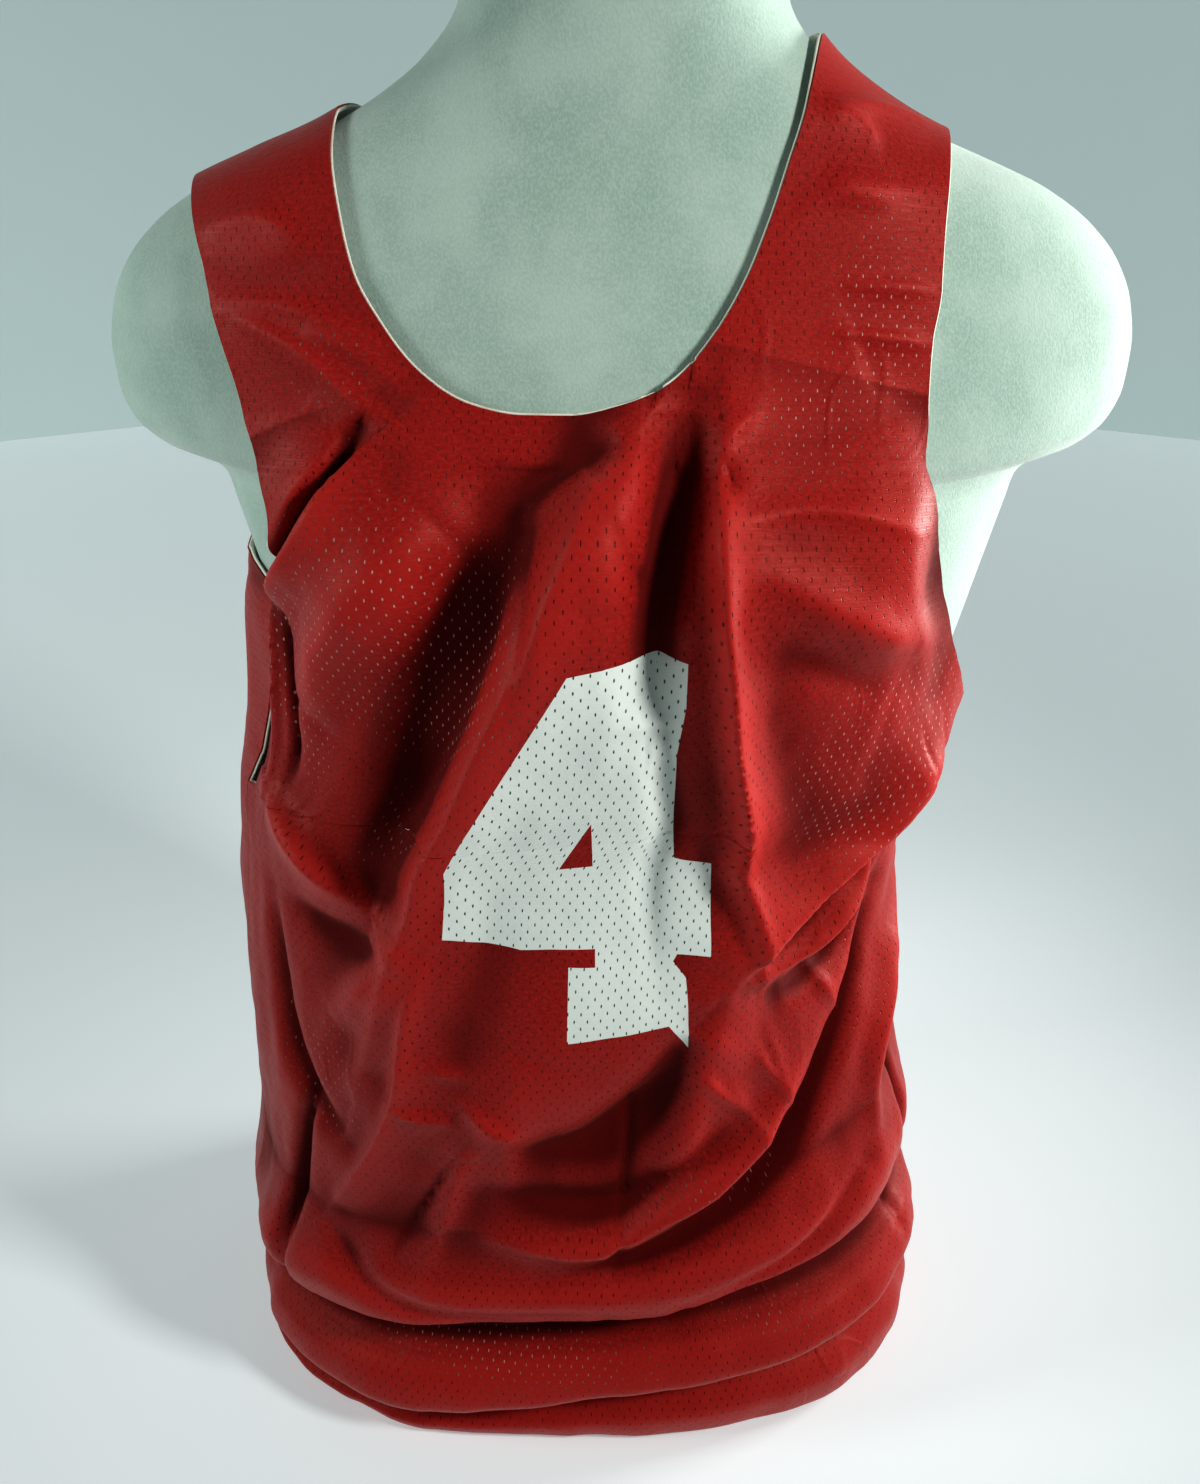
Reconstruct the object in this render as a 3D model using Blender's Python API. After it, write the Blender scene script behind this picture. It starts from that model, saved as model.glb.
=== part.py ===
"""Reversible basketball jersey hung on a limbless display torso.

Metres, +Z up, chest towards -Y.  The torso stands on its flat foot at z = 0 and
the jersey, longer than the torso, slumps into soft rolls on the same surface.

The cloth is one surface of two coordinates: the azimuth round the torso (0 at
the chest, +90 at the wearer's left side, which is +X) and the rise from the
foot.  Below PIVOT the rise is a height on an oval ring.  Above it the rise is
an arc that swings over the shoulder from chest (0) to crest (a quarter turn).
Four walls follow that surface: the red outer front and back, and the white
inner front and back one layer further in.
"""
import math

import bpy
import numpy as np

# ---- driving sizes ---------------------------------------------------------
CLOTH_WALL = 0.0010         # thickness of one knitted layer
LAYER_GAP = 0.0004          # air between the red and the white layer
SEAM_GAP = 0.0003           # air between two panels where a seam joins them
BODY_CLEARANCE = 0.0035     # outer face of the red layer to the torso
PIVOT = 0.580               # height where the cloth starts to lean over the shoulder
SWING_RADIUS = 0.110        # arc radius that turns rise into shoulder angle
CREST = PIVOT + SWING_RADIUS * math.pi / 2
BEND_REACH = 0.040          # how far the bend at PIVOT is rounded, up and down
BEND_STEPS = ((-1.0, 1), (-0.75, 2), (-0.5, 3), (-0.25, 4), (0.0, 4), (0.25, 4), (0.5, 3),
              (0.75, 2), (1.0, 1))  # where the bend is sampled, and with what weight
HEM_LEVEL = 0.0004          # air between the table and the turned-in hem
SEAM_LEFT = math.radians(-69)
SEAM_RIGHT = math.radians(84)
ARMHOLE_LEFT = 0.392        # height where the side seam meets the armhole
ARMHOLE_RIGHT = 0.4205
SWAG_REACH = 0.070          # height of the zone over the swag's lip
FOLD_SCALE = 0.200          # radius that turns azimuth into length across a fold
SOFT_STOP = 0.004           # how softly a trough comes to rest on the torso
PROBE_TURN = 0.010          # azimuth step to each side when a normal is worked out
PROBE_CLIMB = 0.004         # rise step up and down when a normal is worked out

TORSO_SEGMENTS = 36
STRAP_COLUMNS = 6
NECK_COLUMNS = {"front": 10, "back": 7}
SHELF_COLUMNS = {"front": 0, "back": 5}  # along the level stretch of the left armhole
SIDE_ROWS = 6               # rows from over the swag to the armhole
CHEST_ROWS = 9              # rows from the armhole to the strap
STRAP_ROWS = 8

# Torso: height, half width, half depth.
TORSO = (
    (0.000, 0.164, 0.116), (0.060, 0.170, 0.121), (0.120, 0.166, 0.118),
    (0.190, 0.152, 0.108), (0.260, 0.140, 0.100), (0.320, 0.141, 0.102),
    (0.370, 0.150, 0.108), (0.410, 0.160, 0.113), (0.460, 0.176, 0.118),
    (0.510, 0.188, 0.119), (0.538, 0.195, 0.116), (0.553, 0.199, 0.112),
    (0.5625, 0.210, 0.107), (0.5685, 0.230, 0.104), (0.578, 0.2415, 0.101),
    (0.592, 0.247, 0.097),
    (0.610, 0.248, 0.092), (0.632, 0.244, 0.086), (0.650, 0.235, 0.081),
    (0.667, 0.219, 0.077), (0.682, 0.196, 0.073), (0.694, 0.168, 0.070),
    (0.706, 0.138, 0.067), (0.720, 0.112, 0.065), (0.736, 0.090, 0.063),
    (0.756, 0.074, 0.061), (0.782, 0.067, 0.060), (0.824, 0.066, 0.059),
    (0.830, 0.062, 0.055),
)

# Jersey below PIVOT: height, middle, half width, depth in front, depth behind,
# squareness (2 is an ellipse, more is boxier).
JERSEY = (
    (0.000, -0.018, 0.209, 0.152, 0.140, 2.65), (0.060, -0.020, 0.206, 0.151, 0.140, 2.60),
    (0.120, -0.022, 0.200, 0.151, 0.139, 2.50), (0.180, -0.025, 0.196, 0.149, 0.137, 2.35),
    (0.240, -0.028, 0.191, 0.146, 0.133, 2.25), (0.300, -0.030, 0.186, 0.141, 0.130, 2.15),
    (0.360, -0.026, 0.185, 0.137, 0.128, 2.08), (0.385, -0.0235, 0.1855, 0.136, 0.128, 2.05),
    (0.420, -0.009, 0.194, 0.135, 0.127, 2.02), (0.460, -0.004, 0.194, 0.133, 0.127, 2.00),
    (0.510, 0.000, 0.197, 0.130, 0.126, 2.00), (0.545, 0.000, 0.216, 0.123, 0.122, 2.00),
    (0.580, 0.000, 0.2495, 0.1065, 0.1065, 2.00),
)

# Rolls at the foot of the jersey: azimuth in degrees, height of the lower
# roll's lip, height of the upper swag's lip, how far each of them hangs over.
LIPS = (
    (-90, 0.026, 0.095, 0.00, 0.20), (-69, 0.025, 0.092, 0.05, 0.40),
    (-50, 0.025, 0.090, 0.30, 0.90), (-28, 0.029, 0.096, 0.90, 1.00),
    (-7, 0.042, 0.102, 1.00, 1.00), (11, 0.056, 0.110, 1.00, 0.95),
    (28, 0.064, 0.121, 1.00, 0.90), (44, 0.069, 0.134, 0.90, 0.70),
    (66, 0.074, 0.148, 0.50, 0.30), (90, 0.070, 0.142, 0.35, 0.25),
    (130, 0.050, 0.122, 0.80, 0.80), (180, 0.042, 0.112, 0.90, 1.00),
    (230, 0.034, 0.106, 0.50, 0.80), (270, 0.026, 0.095, 0.00, 0.20),
)

# Rows of the foot, from the hem upwards: zone (0 table to lower lip, 1 lower
# lip to swag, 2 over the swag), share of the zone, lift and shift outwards
# where the cloth rolls over, and which roll carries them.
FOOT_ROWS = (
    (0, 0.000, 0.0000, -0.0180, "hem"), (0, 0.004, 0.0000, -0.0085, "hem"),
    (0, 0.080, 0.0000, -0.0015, "hem"), (0, 0.360, 0.0000, 0.0020, "hem"),
    (0, 0.640, 0.0000, 0.0010, "hem"), (0, 0.800, 0.0000, -0.0060, "roll"),
    (0, 0.920, 0.0010, -0.0140, "roll"), (1, 0.015, 0.0025, -0.0150, "roll"),
    (1, 0.055, -0.0045, -0.0050, "roll"), (1, 0.110, -0.0050, 0.0035, "roll"),
    (1, 0.250, -0.0060, 0.0090, "roll"), (1, 0.500, -0.0030, 0.0110, "roll"),
    (1, 0.760, 0.0000, 0.0050, "roll"), (1, 0.900, 0.0000, -0.0050, "swag"),
    (1, 0.980, 0.0020, -0.0140, "swag"), (2, 0.035, 0.0000, -0.0100, "swag"),
    (2, 0.090, -0.0065, -0.0020, "swag"), (2, 0.170, -0.0050, 0.0045, "swag"),
    (2, 0.420, -0.0030, 0.0075, "swag"), (2, 0.700, 0.0000, 0.0045, "swag"),
    (2, 1.000, 0.0000, 0.0000, "swag"),
)

# Outlines on the cloth: x, height; a height of None is the shoulder's crest.
NECK_FRONT = (
    (-0.130, None), (-0.127, 0.697), (-0.123, 0.678), (-0.117, 0.654),
    (-0.105, 0.634), (-0.088, 0.615), (-0.067, 0.603), (-0.045, 0.599),
    (-0.023, 0.599), (-0.002, 0.603), (0.020, 0.612), (0.036, 0.628),
    (0.051, 0.651), (0.061, 0.674), (0.069, 0.696), (0.076, 0.715), (0.089, None),
)
NECK_BACK = (
    (0.089, None), (0.075, 0.706), (0.060, 0.690), (0.040, 0.679), (0.015, 0.672),
    (-0.018, 0.669), (-0.050, 0.670), (-0.080, 0.675), (-0.105, 0.684), (-0.130, None),
)
ARM_FRONT_LEFT = (
    (-0.191, 0.392), (-0.181, 0.416), (-0.1695, 0.465), (-0.161, 0.508),
    (-0.1565, 0.532), (-0.158, 0.560), (-0.1695, 0.584), (-0.181, 0.632),
    (-0.187, 0.658), (-0.192, 0.673), (-0.1975, None),
)
ARM_FRONT_RIGHT = (
    (0.184, 0.4205), (0.172, 0.451), (0.155, 0.495), (0.145, 0.525), (0.138, 0.550),
    (0.135, 0.581), (0.134, 0.603), (0.134, 0.623), (0.137, 0.643), (0.138, 0.668),
    (0.140, 0.685), (0.1486, None),
)
# Armholes behind, up to the crest: azimuth in degrees, height.
ARM_BACK_RIGHT = (
    (84, 0.4205), (93, 0.429), (106, 0.447), (120, 0.482), (134, 0.530), (142, 0.575),
    (145, 0.628), (145, 0.672),
)
ARM_BACK_LEFT = (
    (291, 0.392), (295.2, 0.412), (297.4, 0.435), (299.2, 0.458), (300.4, 0.476),
    (300.6, 0.488), (299, 0.498), (294, 0.505), (286, 0.508), (275, 0.508), (262, 0.510),
    (250, 0.520), (239, 0.545), (229, 0.580), (225, 0.628), (228, 0.664),
)
# Knots of those outlines where a strap starts: first and second side.
STRAP_FOOT = {"neck_front": (5, 11), "neck_back": (3, 7), "arm_front": (6, 6), "arm_back": (5, 13)}
SHELF_START = {"front": 6, "back": 6}  # knot where the second armhole turns level

# Main folds: side; path start, middle and end as x, height; half width; rise
# (+ ridge, - trough).
FOLDS = (
    ("front", -0.140, 0.520, 0.000, 0.530, 0.130, 0.520, 0.060, 0.013),
    ("front", -0.080, 0.300, 0.000, 0.290, 0.080, 0.290, 0.050, 0.007),
    ("front", -0.080, 0.556, -0.122, 0.505, -0.150, 0.452, 0.020, 0.014),
    ("front", -0.036, 0.580, -0.072, 0.510, -0.112, 0.420, 0.027, -0.015),
    ("front", 0.004, 0.596, -0.052, 0.475, -0.130, 0.262, 0.020, 0.014),
    ("front", 0.028, 0.604, 0.022, 0.530, 0.018, 0.440, 0.022, -0.010),
    ("front", 0.046, 0.594, 0.043, 0.500, 0.064, 0.339, 0.018, 0.012),
    ("front", 0.051, 0.541, 0.095, 0.515, 0.138, 0.491, 0.015, 0.005),
    ("front", -0.160, 0.510, -0.158, 0.451, -0.172, 0.405, 0.013, -0.007),
    ("front", 0.116, 0.590, 0.120, 0.545, 0.138, 0.450, 0.024, 0.006),
    ("front", 0.158, 0.422, 0.118, 0.388, 0.054, 0.326, 0.016, 0.014),
    ("front", 0.135, 0.376, 0.122, 0.330, 0.082, 0.306, 0.014, -0.012),
    ("front", 0.135, 0.325, 0.118, 0.262, 0.096, 0.195, 0.018, -0.013),
    ("front", 0.154, 0.320, 0.144, 0.255, 0.143, 0.190, 0.014, 0.009),
    ("front", -0.176, 0.399, -0.149, 0.367, -0.105, 0.352, 0.016, 0.008),
    ("front", -0.207, 0.225, -0.200, 0.175, -0.192, 0.125, 0.014, -0.010),
    ("front", 0.034, 0.297, 0.006, 0.243, -0.060, 0.222, 0.018, -0.015),
    ("front", 0.052, 0.320, 0.040, 0.265, 0.022, 0.202, 0.015, 0.009),
    ("front", -0.088, 0.617, -0.023, 0.601, 0.036, 0.630, 0.022, 0.005),
    ("front", -0.165, 0.502, -0.189, 0.508, -0.1965, 0.508, 0.016, -0.011),
    ("back", -0.1965, 0.508, -0.190, 0.510, -0.180, 0.518, 0.016, -0.009),
    ("back", -0.185, 0.535, -0.184, 0.560, -0.182, 0.590, 0.024, 0.004),
    ("back", 0.060, 0.640, 0.075, 0.500, 0.100, 0.330, 0.020, 0.013),
    ("back", 0.020, 0.640, 0.025, 0.470, 0.045, 0.300, 0.019, -0.011),
    ("back", -0.050, 0.650, -0.040, 0.500, -0.020, 0.320, 0.018, 0.012),
    ("back", -0.095, 0.630, -0.090, 0.480, -0.080, 0.330, 0.017, -0.010),
    ("back", -0.130, 0.600, -0.135, 0.450, -0.150, 0.300, 0.018, 0.012),
    ("back", 0.130, 0.430, 0.110, 0.350, 0.070, 0.260, 0.018, 0.013),
    ("back", -0.150, 0.320, -0.110, 0.250, -0.060, 0.215, 0.018, -0.011),
    ("back", 0.120, 0.265, 0.060, 0.225, -0.010, 0.215, 0.018, 0.010),
)

# Materials: base colour, roughness.
RED_MESH = ((0.330, 0.012, 0.012), 0.55)
WHITE_MESH = ((0.780, 0.780, 0.740), 0.70)
TORSO_CLOTH = ((0.520, 0.620, 0.560), 0.85)


# ---- curves ----------------------------------------------------------------
def curve(knots, values, at):
    """Smooth curve through (knots, values) that never swings past a knot."""
    knots = np.asarray(knots, float)
    values = np.asarray(values, float)
    step = np.diff(knots)
    rise = np.diff(values) / step
    slope = np.zeros(len(knots))
    turns = rise[1:] * rise[:-1] > 0
    slope[1:-1][turns] = (2 * rise[1:] * rise[:-1] / (rise[1:] + rise[:-1] + 1e-12))[turns]
    slope[0], slope[-1] = rise[0], rise[-1]
    at = np.clip(np.asarray(at, float), knots[0], knots[-1])
    cell = np.clip(np.searchsorted(knots, at, side="right") - 1, 0, len(step) - 1)
    t = (at - knots[cell]) / step[cell]
    h = step[cell]
    return (values[cell] * (1 + 2 * t) * (1 - t) ** 2 + values[cell + 1] * t * t * (3 - 2 * t)
            + h * slope[cell] * t * (1 - t) ** 2 - h * slope[cell + 1] * t * t * (1 - t))


def column(table, index):
    """One named column of a table."""
    return [row[index] for row in table]


def torso_size(height):
    """Half width and half depth of the torso at a height."""
    heights = column(TORSO, 0)
    return curve(heights, column(TORSO, 1), height), curve(heights, column(TORSO, 2), height)


def jersey_size(height):
    """Middle, half width, both depths and squareness of the hanging cloth."""
    heights = column(JERSEY, 0)
    return [curve(heights, column(JERSEY, k), height) for k in (1, 2, 3, 4, 5)]


def lips(azimuth):
    """Heights and overhangs of the two lips at an azimuth in radians."""
    degrees = np.degrees(azimuth)
    degrees = np.where(degrees > 270, degrees - 360, degrees)
    angles = column(LIPS, 0)
    return [curve(angles, column(LIPS, k), degrees) for k in (1, 2, 3, 4)]


# ---- the cloth surface -----------------------------------------------------
def rise_of(x, height):
    """Rise of a point of the cloth; a height of None is the shoulder's crest."""
    if height is None:
        return CREST
    if height <= PIVOT:
        return height
    wide, deep = (float(size) + BODY_CLEARANCE for size in torso_size(height))
    forward = deep * math.sqrt(max(0.0, 1 - (x / wide) ** 2))
    return PIVOT + SWING_RADIUS * math.atan2(height - PIVOT, forward)


def place(x, height, behind=False):
    """Azimuth and rise of a point of the cloth seen from the front or behind."""
    level = PIVOT if height is None else min(height, PIVOT)
    middle, half, _, _, square = (float(size) for size in jersey_size(level))
    share = min(1.0, abs(x - middle) / half)
    forward = (1 - share ** square) ** (1 / square)
    azimuth = math.copysign(math.atan2(share, forward), x - middle)
    return (math.pi - azimuth if behind else azimuth), rise_of(x, height)


def bare_surface(azimuth, rise):
    """Points of the hanging cloth below PIVOT and of the shoulder's arc above it."""
    low = np.minimum(rise, PIVOT)
    middle, half, front, back, square = jersey_size(low)
    sine, cosine = np.sin(azimuth), np.cos(azimuth)
    side = np.where(cosine > 0, -1.0, 1.0)
    stretch = (np.abs(sine) ** square + np.abs(cosine) ** square) ** (-1 / square)
    x = middle + half * sine * stretch
    y = -np.where(side < 0, front, back) * cosine * stretch
    swing = np.maximum(rise - PIVOT, 0.0) / SWING_RADIUS
    near, far = np.zeros_like(x), np.full_like(x, 0.30)
    for _ in range(30):
        reach = (near + far) / 2
        wide, deep = torso_size(PIVOT + (reach - BODY_CLEARANCE) * np.sin(swing))
        out_of = ((x / (wide + BODY_CLEARANCE)) ** 2
                  + (reach * np.cos(swing) / (deep + BODY_CLEARANCE)) ** 2) > 1
        near, far = np.where(out_of, near, reach), np.where(out_of, reach, far)
    over = rise > PIVOT
    y = np.where(over, side * near * np.cos(swing), y)
    z = np.where(over, PIVOT + near * np.sin(swing), low)
    return np.stack([x, y, z], -1)


def surface(azimuth, rise):
    """Points of the cloth before folds, rounded where it leaves the shoulder."""
    azimuth, rise = np.broadcast_arrays(azimuth, rise)
    points = bare_surface(azimuth, rise)
    near = np.abs(rise - PIVOT) < BEND_REACH
    if near.any():
        spread = BEND_REACH * (1 - ((rise[near] - PIVOT) / BEND_REACH) ** 2) ** 2 * 0.8
        total = np.zeros((int(near.sum()), 3))
        for step, weight in BEND_STEPS:
            total += weight * bare_surface(azimuth[near], rise[near] + step * spread)
        points[near] = total / sum(column(BEND_STEPS, 1))
    return points


def outward(azimuth, rise):
    """Unit normals of the smooth cloth."""
    across = surface(azimuth + PROBE_TURN, rise) - surface(azimuth - PROBE_TURN, rise)
    up = surface(azimuth, rise + PROBE_CLIMB) - surface(azimuth, rise - PROBE_CLIMB)
    normal = np.cross(across, up)
    return normal / np.linalg.norm(normal, axis=-1, keepdims=True)


def room_behind(azimuth, rise):
    """How far the smooth cloth could still sink before it reached the torso."""
    points = bare_surface(azimuth, rise)
    wide, deep = torso_size(points[..., 2])
    ratio = np.sqrt((points[..., 0] / (wide + BODY_CLEARANCE)) ** 2
                    + (points[..., 1] / (deep + BODY_CLEARANCE)) ** 2)
    gap = np.linalg.norm(points[..., :2], axis=-1) * (1 - 1 / ratio)
    return np.where(rise < PIVOT, np.maximum(gap, 0.0), 0.0)


def fold_paths():
    """Each fold as a short polyline in (azimuth, rise), with its sizes."""
    paths = []
    for side, x0, z0, x1, z1, x2, z2, width, lift in FOLDS:
        knots = [place(x, z, side == "back") for x, z in ((x0, z0), (x1, z1), (x2, z2))]
        t = np.linspace(0, 1, 9)
        path = [curve([0, 0.5, 1], [k[axis] for k in knots], t) for axis in (0, 1)]
        paths.append((np.stack(path, -1), width, lift))
    return paths


def fold_height(azimuth, rise, paths):
    """How far the folds move each point outwards."""
    out = np.zeros(azimuth.shape)
    for path, width, lift in paths:
        start = path[:-1]
        run = np.diff(path, axis=0) * (FOLD_SCALE, 1)
        turn = azimuth[..., None] - start[:, 0]
        turn = (turn + math.pi) % (2 * math.pi) - math.pi
        rel = np.stack([turn * FOLD_SCALE, rise[..., None] - start[:, 1]], -1)
        t = np.clip((rel * run).sum(-1) / (run ** 2).sum(-1), 0, 1)
        gap = ((rel - t[..., None] * run) ** 2).sum(-1)
        nearest = np.argmin(gap, -1)
        gap = np.take_along_axis(gap, nearest[..., None], -1)[..., 0]
        along = (nearest + np.take_along_axis(t, nearest[..., None], -1)[..., 0]) / len(run)
        taper = np.sin(math.pi * np.clip(along, 0.04, 0.96)) ** 0.7
        out += lift * taper * np.exp(-gap / width ** 2)
    return out


def cloth(azimuth, rise, shift, paths):
    """Folded cloth: the smooth surface moved out by rolls and folds."""
    room = room_behind(azimuth, rise)
    clear = fold_height(azimuth, rise, paths) + shift + room
    out = (clear + np.sqrt(clear ** 2 + SOFT_STOP ** 2)) / 2 - room
    points = surface(azimuth, rise) + out[..., None] * outward(azimuth, rise)
    points[..., 2] = np.maximum(points[..., 2], HEM_LEVEL)
    return points


# ---- panels as grids -------------------------------------------------------
def outline(knots):
    """A smooth outline through (azimuth, rise) knots, by its own length."""
    knots = np.array(knots)
    length = np.linalg.norm(np.diff(knots * (FOLD_SCALE, 1), axis=0), axis=1)
    return np.concatenate([[0], np.cumsum(length)]), knots


def seen_outline(points, behind):
    """An outline given as x and height."""
    return outline([place(x, z, behind) for x, z in points])


def turned_outline(points, crest_x):
    """An outline given as azimuth in degrees and height, ending on the crest."""
    half = float(jersey_size(PIVOT)[1])
    knots = []
    for degrees, height in points:
        azimuth = math.radians(degrees)
        knots.append((azimuth, rise_of(half * math.sin(azimuth), height)))
    knots.append(place(crest_x, None, True))
    return outline(knots)


def along_outline(line, first, last, count):
    """Evenly spaced points of an outline from one knot to another."""
    length, knots = line
    at = np.linspace(length[first], length[last], count + 1)
    return np.stack([curve(length, knots[:, k], at) for k in (0, 1)], -1)


def foot_grid(azimuth):
    """Rise and shift of every foot row at the given azimuths."""
    roll, swag, roll_hang, swag_hang = lips(azimuth)
    floor = np.full_like(roll, HEM_LEVEL)
    hang = {"hem": np.ones_like(roll), "roll": roll_hang, "swag": swag_hang}
    zones = ((floor, roll), (roll, swag), (swag, swag + SWAG_REACH))
    rises, shifts = [], []
    for zone, share, lift, shift, carrier in FOOT_ROWS:
        low, high = zones[zone]
        rises.append(low + share * (high - low) + lift * hang[carrier])
        shifts.append(shift * hang[carrier])
    return np.array(rises), np.array(shifts)


def panel_grids(side):
    """The body and the two strap grids of one panel, as (azimuth, rise, shift)."""
    neck, arm_start, arm_end = side["neck"], side["arm_start"], side["arm_end"]
    neck_foot, arm_foot = side["neck_foot"], side["arm_foot"]
    neck_columns, shelf_columns = side["neck_columns"], side["shelf_columns"]
    columns = 2 * STRAP_COLUMNS + neck_columns + shelf_columns
    share = np.linspace(0, 1, columns + 1)
    hem = side["from"] + share * (side["to"] - side["from"])

    # top line of the body: strap foot, neckline, strap foot, level stretch
    start_edge = along_outline(arm_start, 0, arm_foot[0], CHEST_ROWS)
    end_edge = along_outline(arm_end, 0, side["shelf_start"], CHEST_ROWS)
    shelf = along_outline(arm_end, side["shelf_start"], arm_foot[1], shelf_columns)[::-1]
    scoop = along_outline(neck, neck_foot[0], neck_foot[1], neck_columns)
    t = np.linspace(0, 1, STRAP_COLUMNS + 1)[:, None]
    start_foot = start_edge[-1] + t * (scoop[0] - start_edge[-1])
    end_foot = scoop[-1] + t * (shelf[0] - scoop[-1])
    top = np.concatenate([start_foot[:-1], scoop, end_foot[1:], shelf[1:]])

    # foot and side rows, hem to armhole
    rise, shift = foot_grid(hem)
    arm_line = side["arm_low"][0] + share * (side["arm_low"][1] - side["arm_low"][0])
    climb = np.linspace(0, 1, SIDE_ROWS + 1)[1:, None]
    rise = np.concatenate([rise, rise[-1] + climb * (arm_line - rise[-1])])
    azimuth = np.tile(hem, (len(rise), 1))

    # chest rows, armhole to strap foot
    climb = np.linspace(0, 1, CHEST_ROWS + 1)[1:, None]
    top_share = (top[:, 0] - top[0, 0]) / (top[-1, 0] - top[0, 0])
    mix = share + climb * (top_share - share)
    chest_azimuth = start_edge[1:, :1] + mix * (end_edge[1:, :1] - start_edge[1:, :1])
    chest_rise = arm_line + climb * (top[:, 1] - arm_line)
    chest_rise = (chest_rise + (1 - mix) * (start_edge[1:, 1:] - chest_rise[:, :1])
                  + mix * (end_edge[1:, 1:] - chest_rise[:, -1:]))
    azimuth = np.concatenate([azimuth, chest_azimuth])
    rise = np.concatenate([rise, chest_rise])
    shift = np.concatenate([shift, np.zeros((len(rise) - len(shift), columns + 1))])

    # straps, foot to crest
    straps = []
    for arm, foot, neck_end, neck_knot, base in (
            (arm_start, arm_foot[0], 0, neck_foot[0], start_foot),
            (arm_end, arm_foot[1], len(neck[0]) - 1, neck_foot[1], end_foot[::-1])):
        outer = along_outline(arm, foot, len(arm[0]) - 1, STRAP_ROWS)
        inner = along_outline(neck, neck_knot, neck_end, STRAP_ROWS)
        grid = outer[:, None] + t[None] * (inner - outer)[:, None]
        grid[0] = base
        straps.append(grid)
    straps[1] = straps[1][:, ::-1]
    return (azimuth, rise, shift), straps


def panel_points(side, folds, seam_gap):
    """All points of one panel, with its triangles."""
    (azimuth, rise, shift), straps = panel_grids(side)
    azimuth, rise = azimuth.copy(), rise.copy()
    side_rows = len(FOOT_ROWS) + SIDE_ROWS
    turn = seam_gap / 2 / FOLD_SCALE
    azimuth[:side_rows, 0] += turn
    azimuth[:side_rows, -1] -= turn
    points = [cloth(azimuth, rise, shift, folds).reshape(-1, 3)]
    rows, columns = azimuth.shape
    index = np.arange(rows * columns).reshape(rows, columns)
    blocks = [index]
    total = rows * columns
    for number, grid in enumerate(straps):
        strap_rise = np.minimum(grid[1:, :, 1], CREST - seam_gap / 2)
        fresh = cloth(grid[1:, :, 0], strap_rise, np.zeros(strap_rise.shape), folds)
        points.append(fresh.reshape(-1, 3))
        own = np.arange(total, total + strap_rise.size).reshape(strap_rise.shape)
        total += strap_rise.size
        first = 0 if number == 0 else STRAP_COLUMNS + side["neck_columns"]
        blocks.append(np.vstack([index[-1, first:first + STRAP_COLUMNS + 1], own]))
    return np.concatenate(points), blocks


def triangles(points, blocks):
    """Two triangles a cell, split along its shorter diagonal."""
    faces = []
    for block in blocks:
        for low, high in zip(block[:-1], block[1:]):
            for a, b, c, d in zip(low[:-1], low[1:], high[1:], high[:-1]):
                rising = np.linalg.norm(points[a] - points[c])
                falling = np.linalg.norm(points[b] - points[d])
                if rising <= falling:
                    faces += [(a, b, c), (a, c, d)]
                else:
                    faces += [(a, b, d), (b, c, d)]
    return faces


def shared_normals(sheets):
    """Vertex normals of several sheets, as one where their seams meet."""
    summed = {}
    keys = []
    for points, faces in sheets:
        corners = points[np.array(faces)]
        weight = np.cross(corners[:, 1] - corners[:, 0], corners[:, 2] - corners[:, 0])
        names = [tuple(np.round(p / 0.00005).astype(int)) for p in points]
        keys.append(names)
        for face, normal in zip(faces, weight):
            for corner in face:
                summed[names[corner]] = summed.get(names[corner], 0) + normal
    result = []
    for names in keys:
        normals = np.array([summed[name] for name in names])
        result.append(normals / np.linalg.norm(normals, axis=1, keepdims=True))
    return result


# ---- solids ----------------------------------------------------------------
def material(name, look):
    """A Principled material of one colour."""
    made = bpy.data.materials.new(name)
    made.use_nodes = True
    shader = made.node_tree.nodes["Principled BSDF"]
    shader.inputs["Base Color"].default_value = (*look[0], 1.0)
    shader.inputs["Roughness"].default_value = look[1]
    shader.inputs["Metallic"].default_value = 0.0
    return made


def add_object(name, points, faces, look):
    """One named object from points and faces, shaded smooth."""
    mesh = bpy.data.meshes.new(name)
    mesh.from_pydata([tuple(map(float, p)) for p in points], [],
                     [tuple(map(int, face)) for face in faces])
    mesh.update()
    mesh.shade_smooth()
    mesh.materials.append(material(name + "_finish", look))
    made = bpy.data.objects.new(name, mesh)
    bpy.context.scene.collection.objects.link(made)
    return made


def wall(points, normals, faces, outer, inner):
    """A closed wall between two depths under a sheet."""
    count = len(points)
    both = np.concatenate([points - normals * outer, points - normals * inner])
    shell = list(faces) + [(a + count, c + count, b + count) for a, b, c in faces]
    sides = {}
    for a, b, c in faces:
        for edge in ((a, b), (b, c), (c, a)):
            sides[edge] = True
    for a, b in sides:
        if (b, a) not in sides:
            shell += [(b, a, a + count), (b, a + count, b + count)]
    return both, shell


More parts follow.
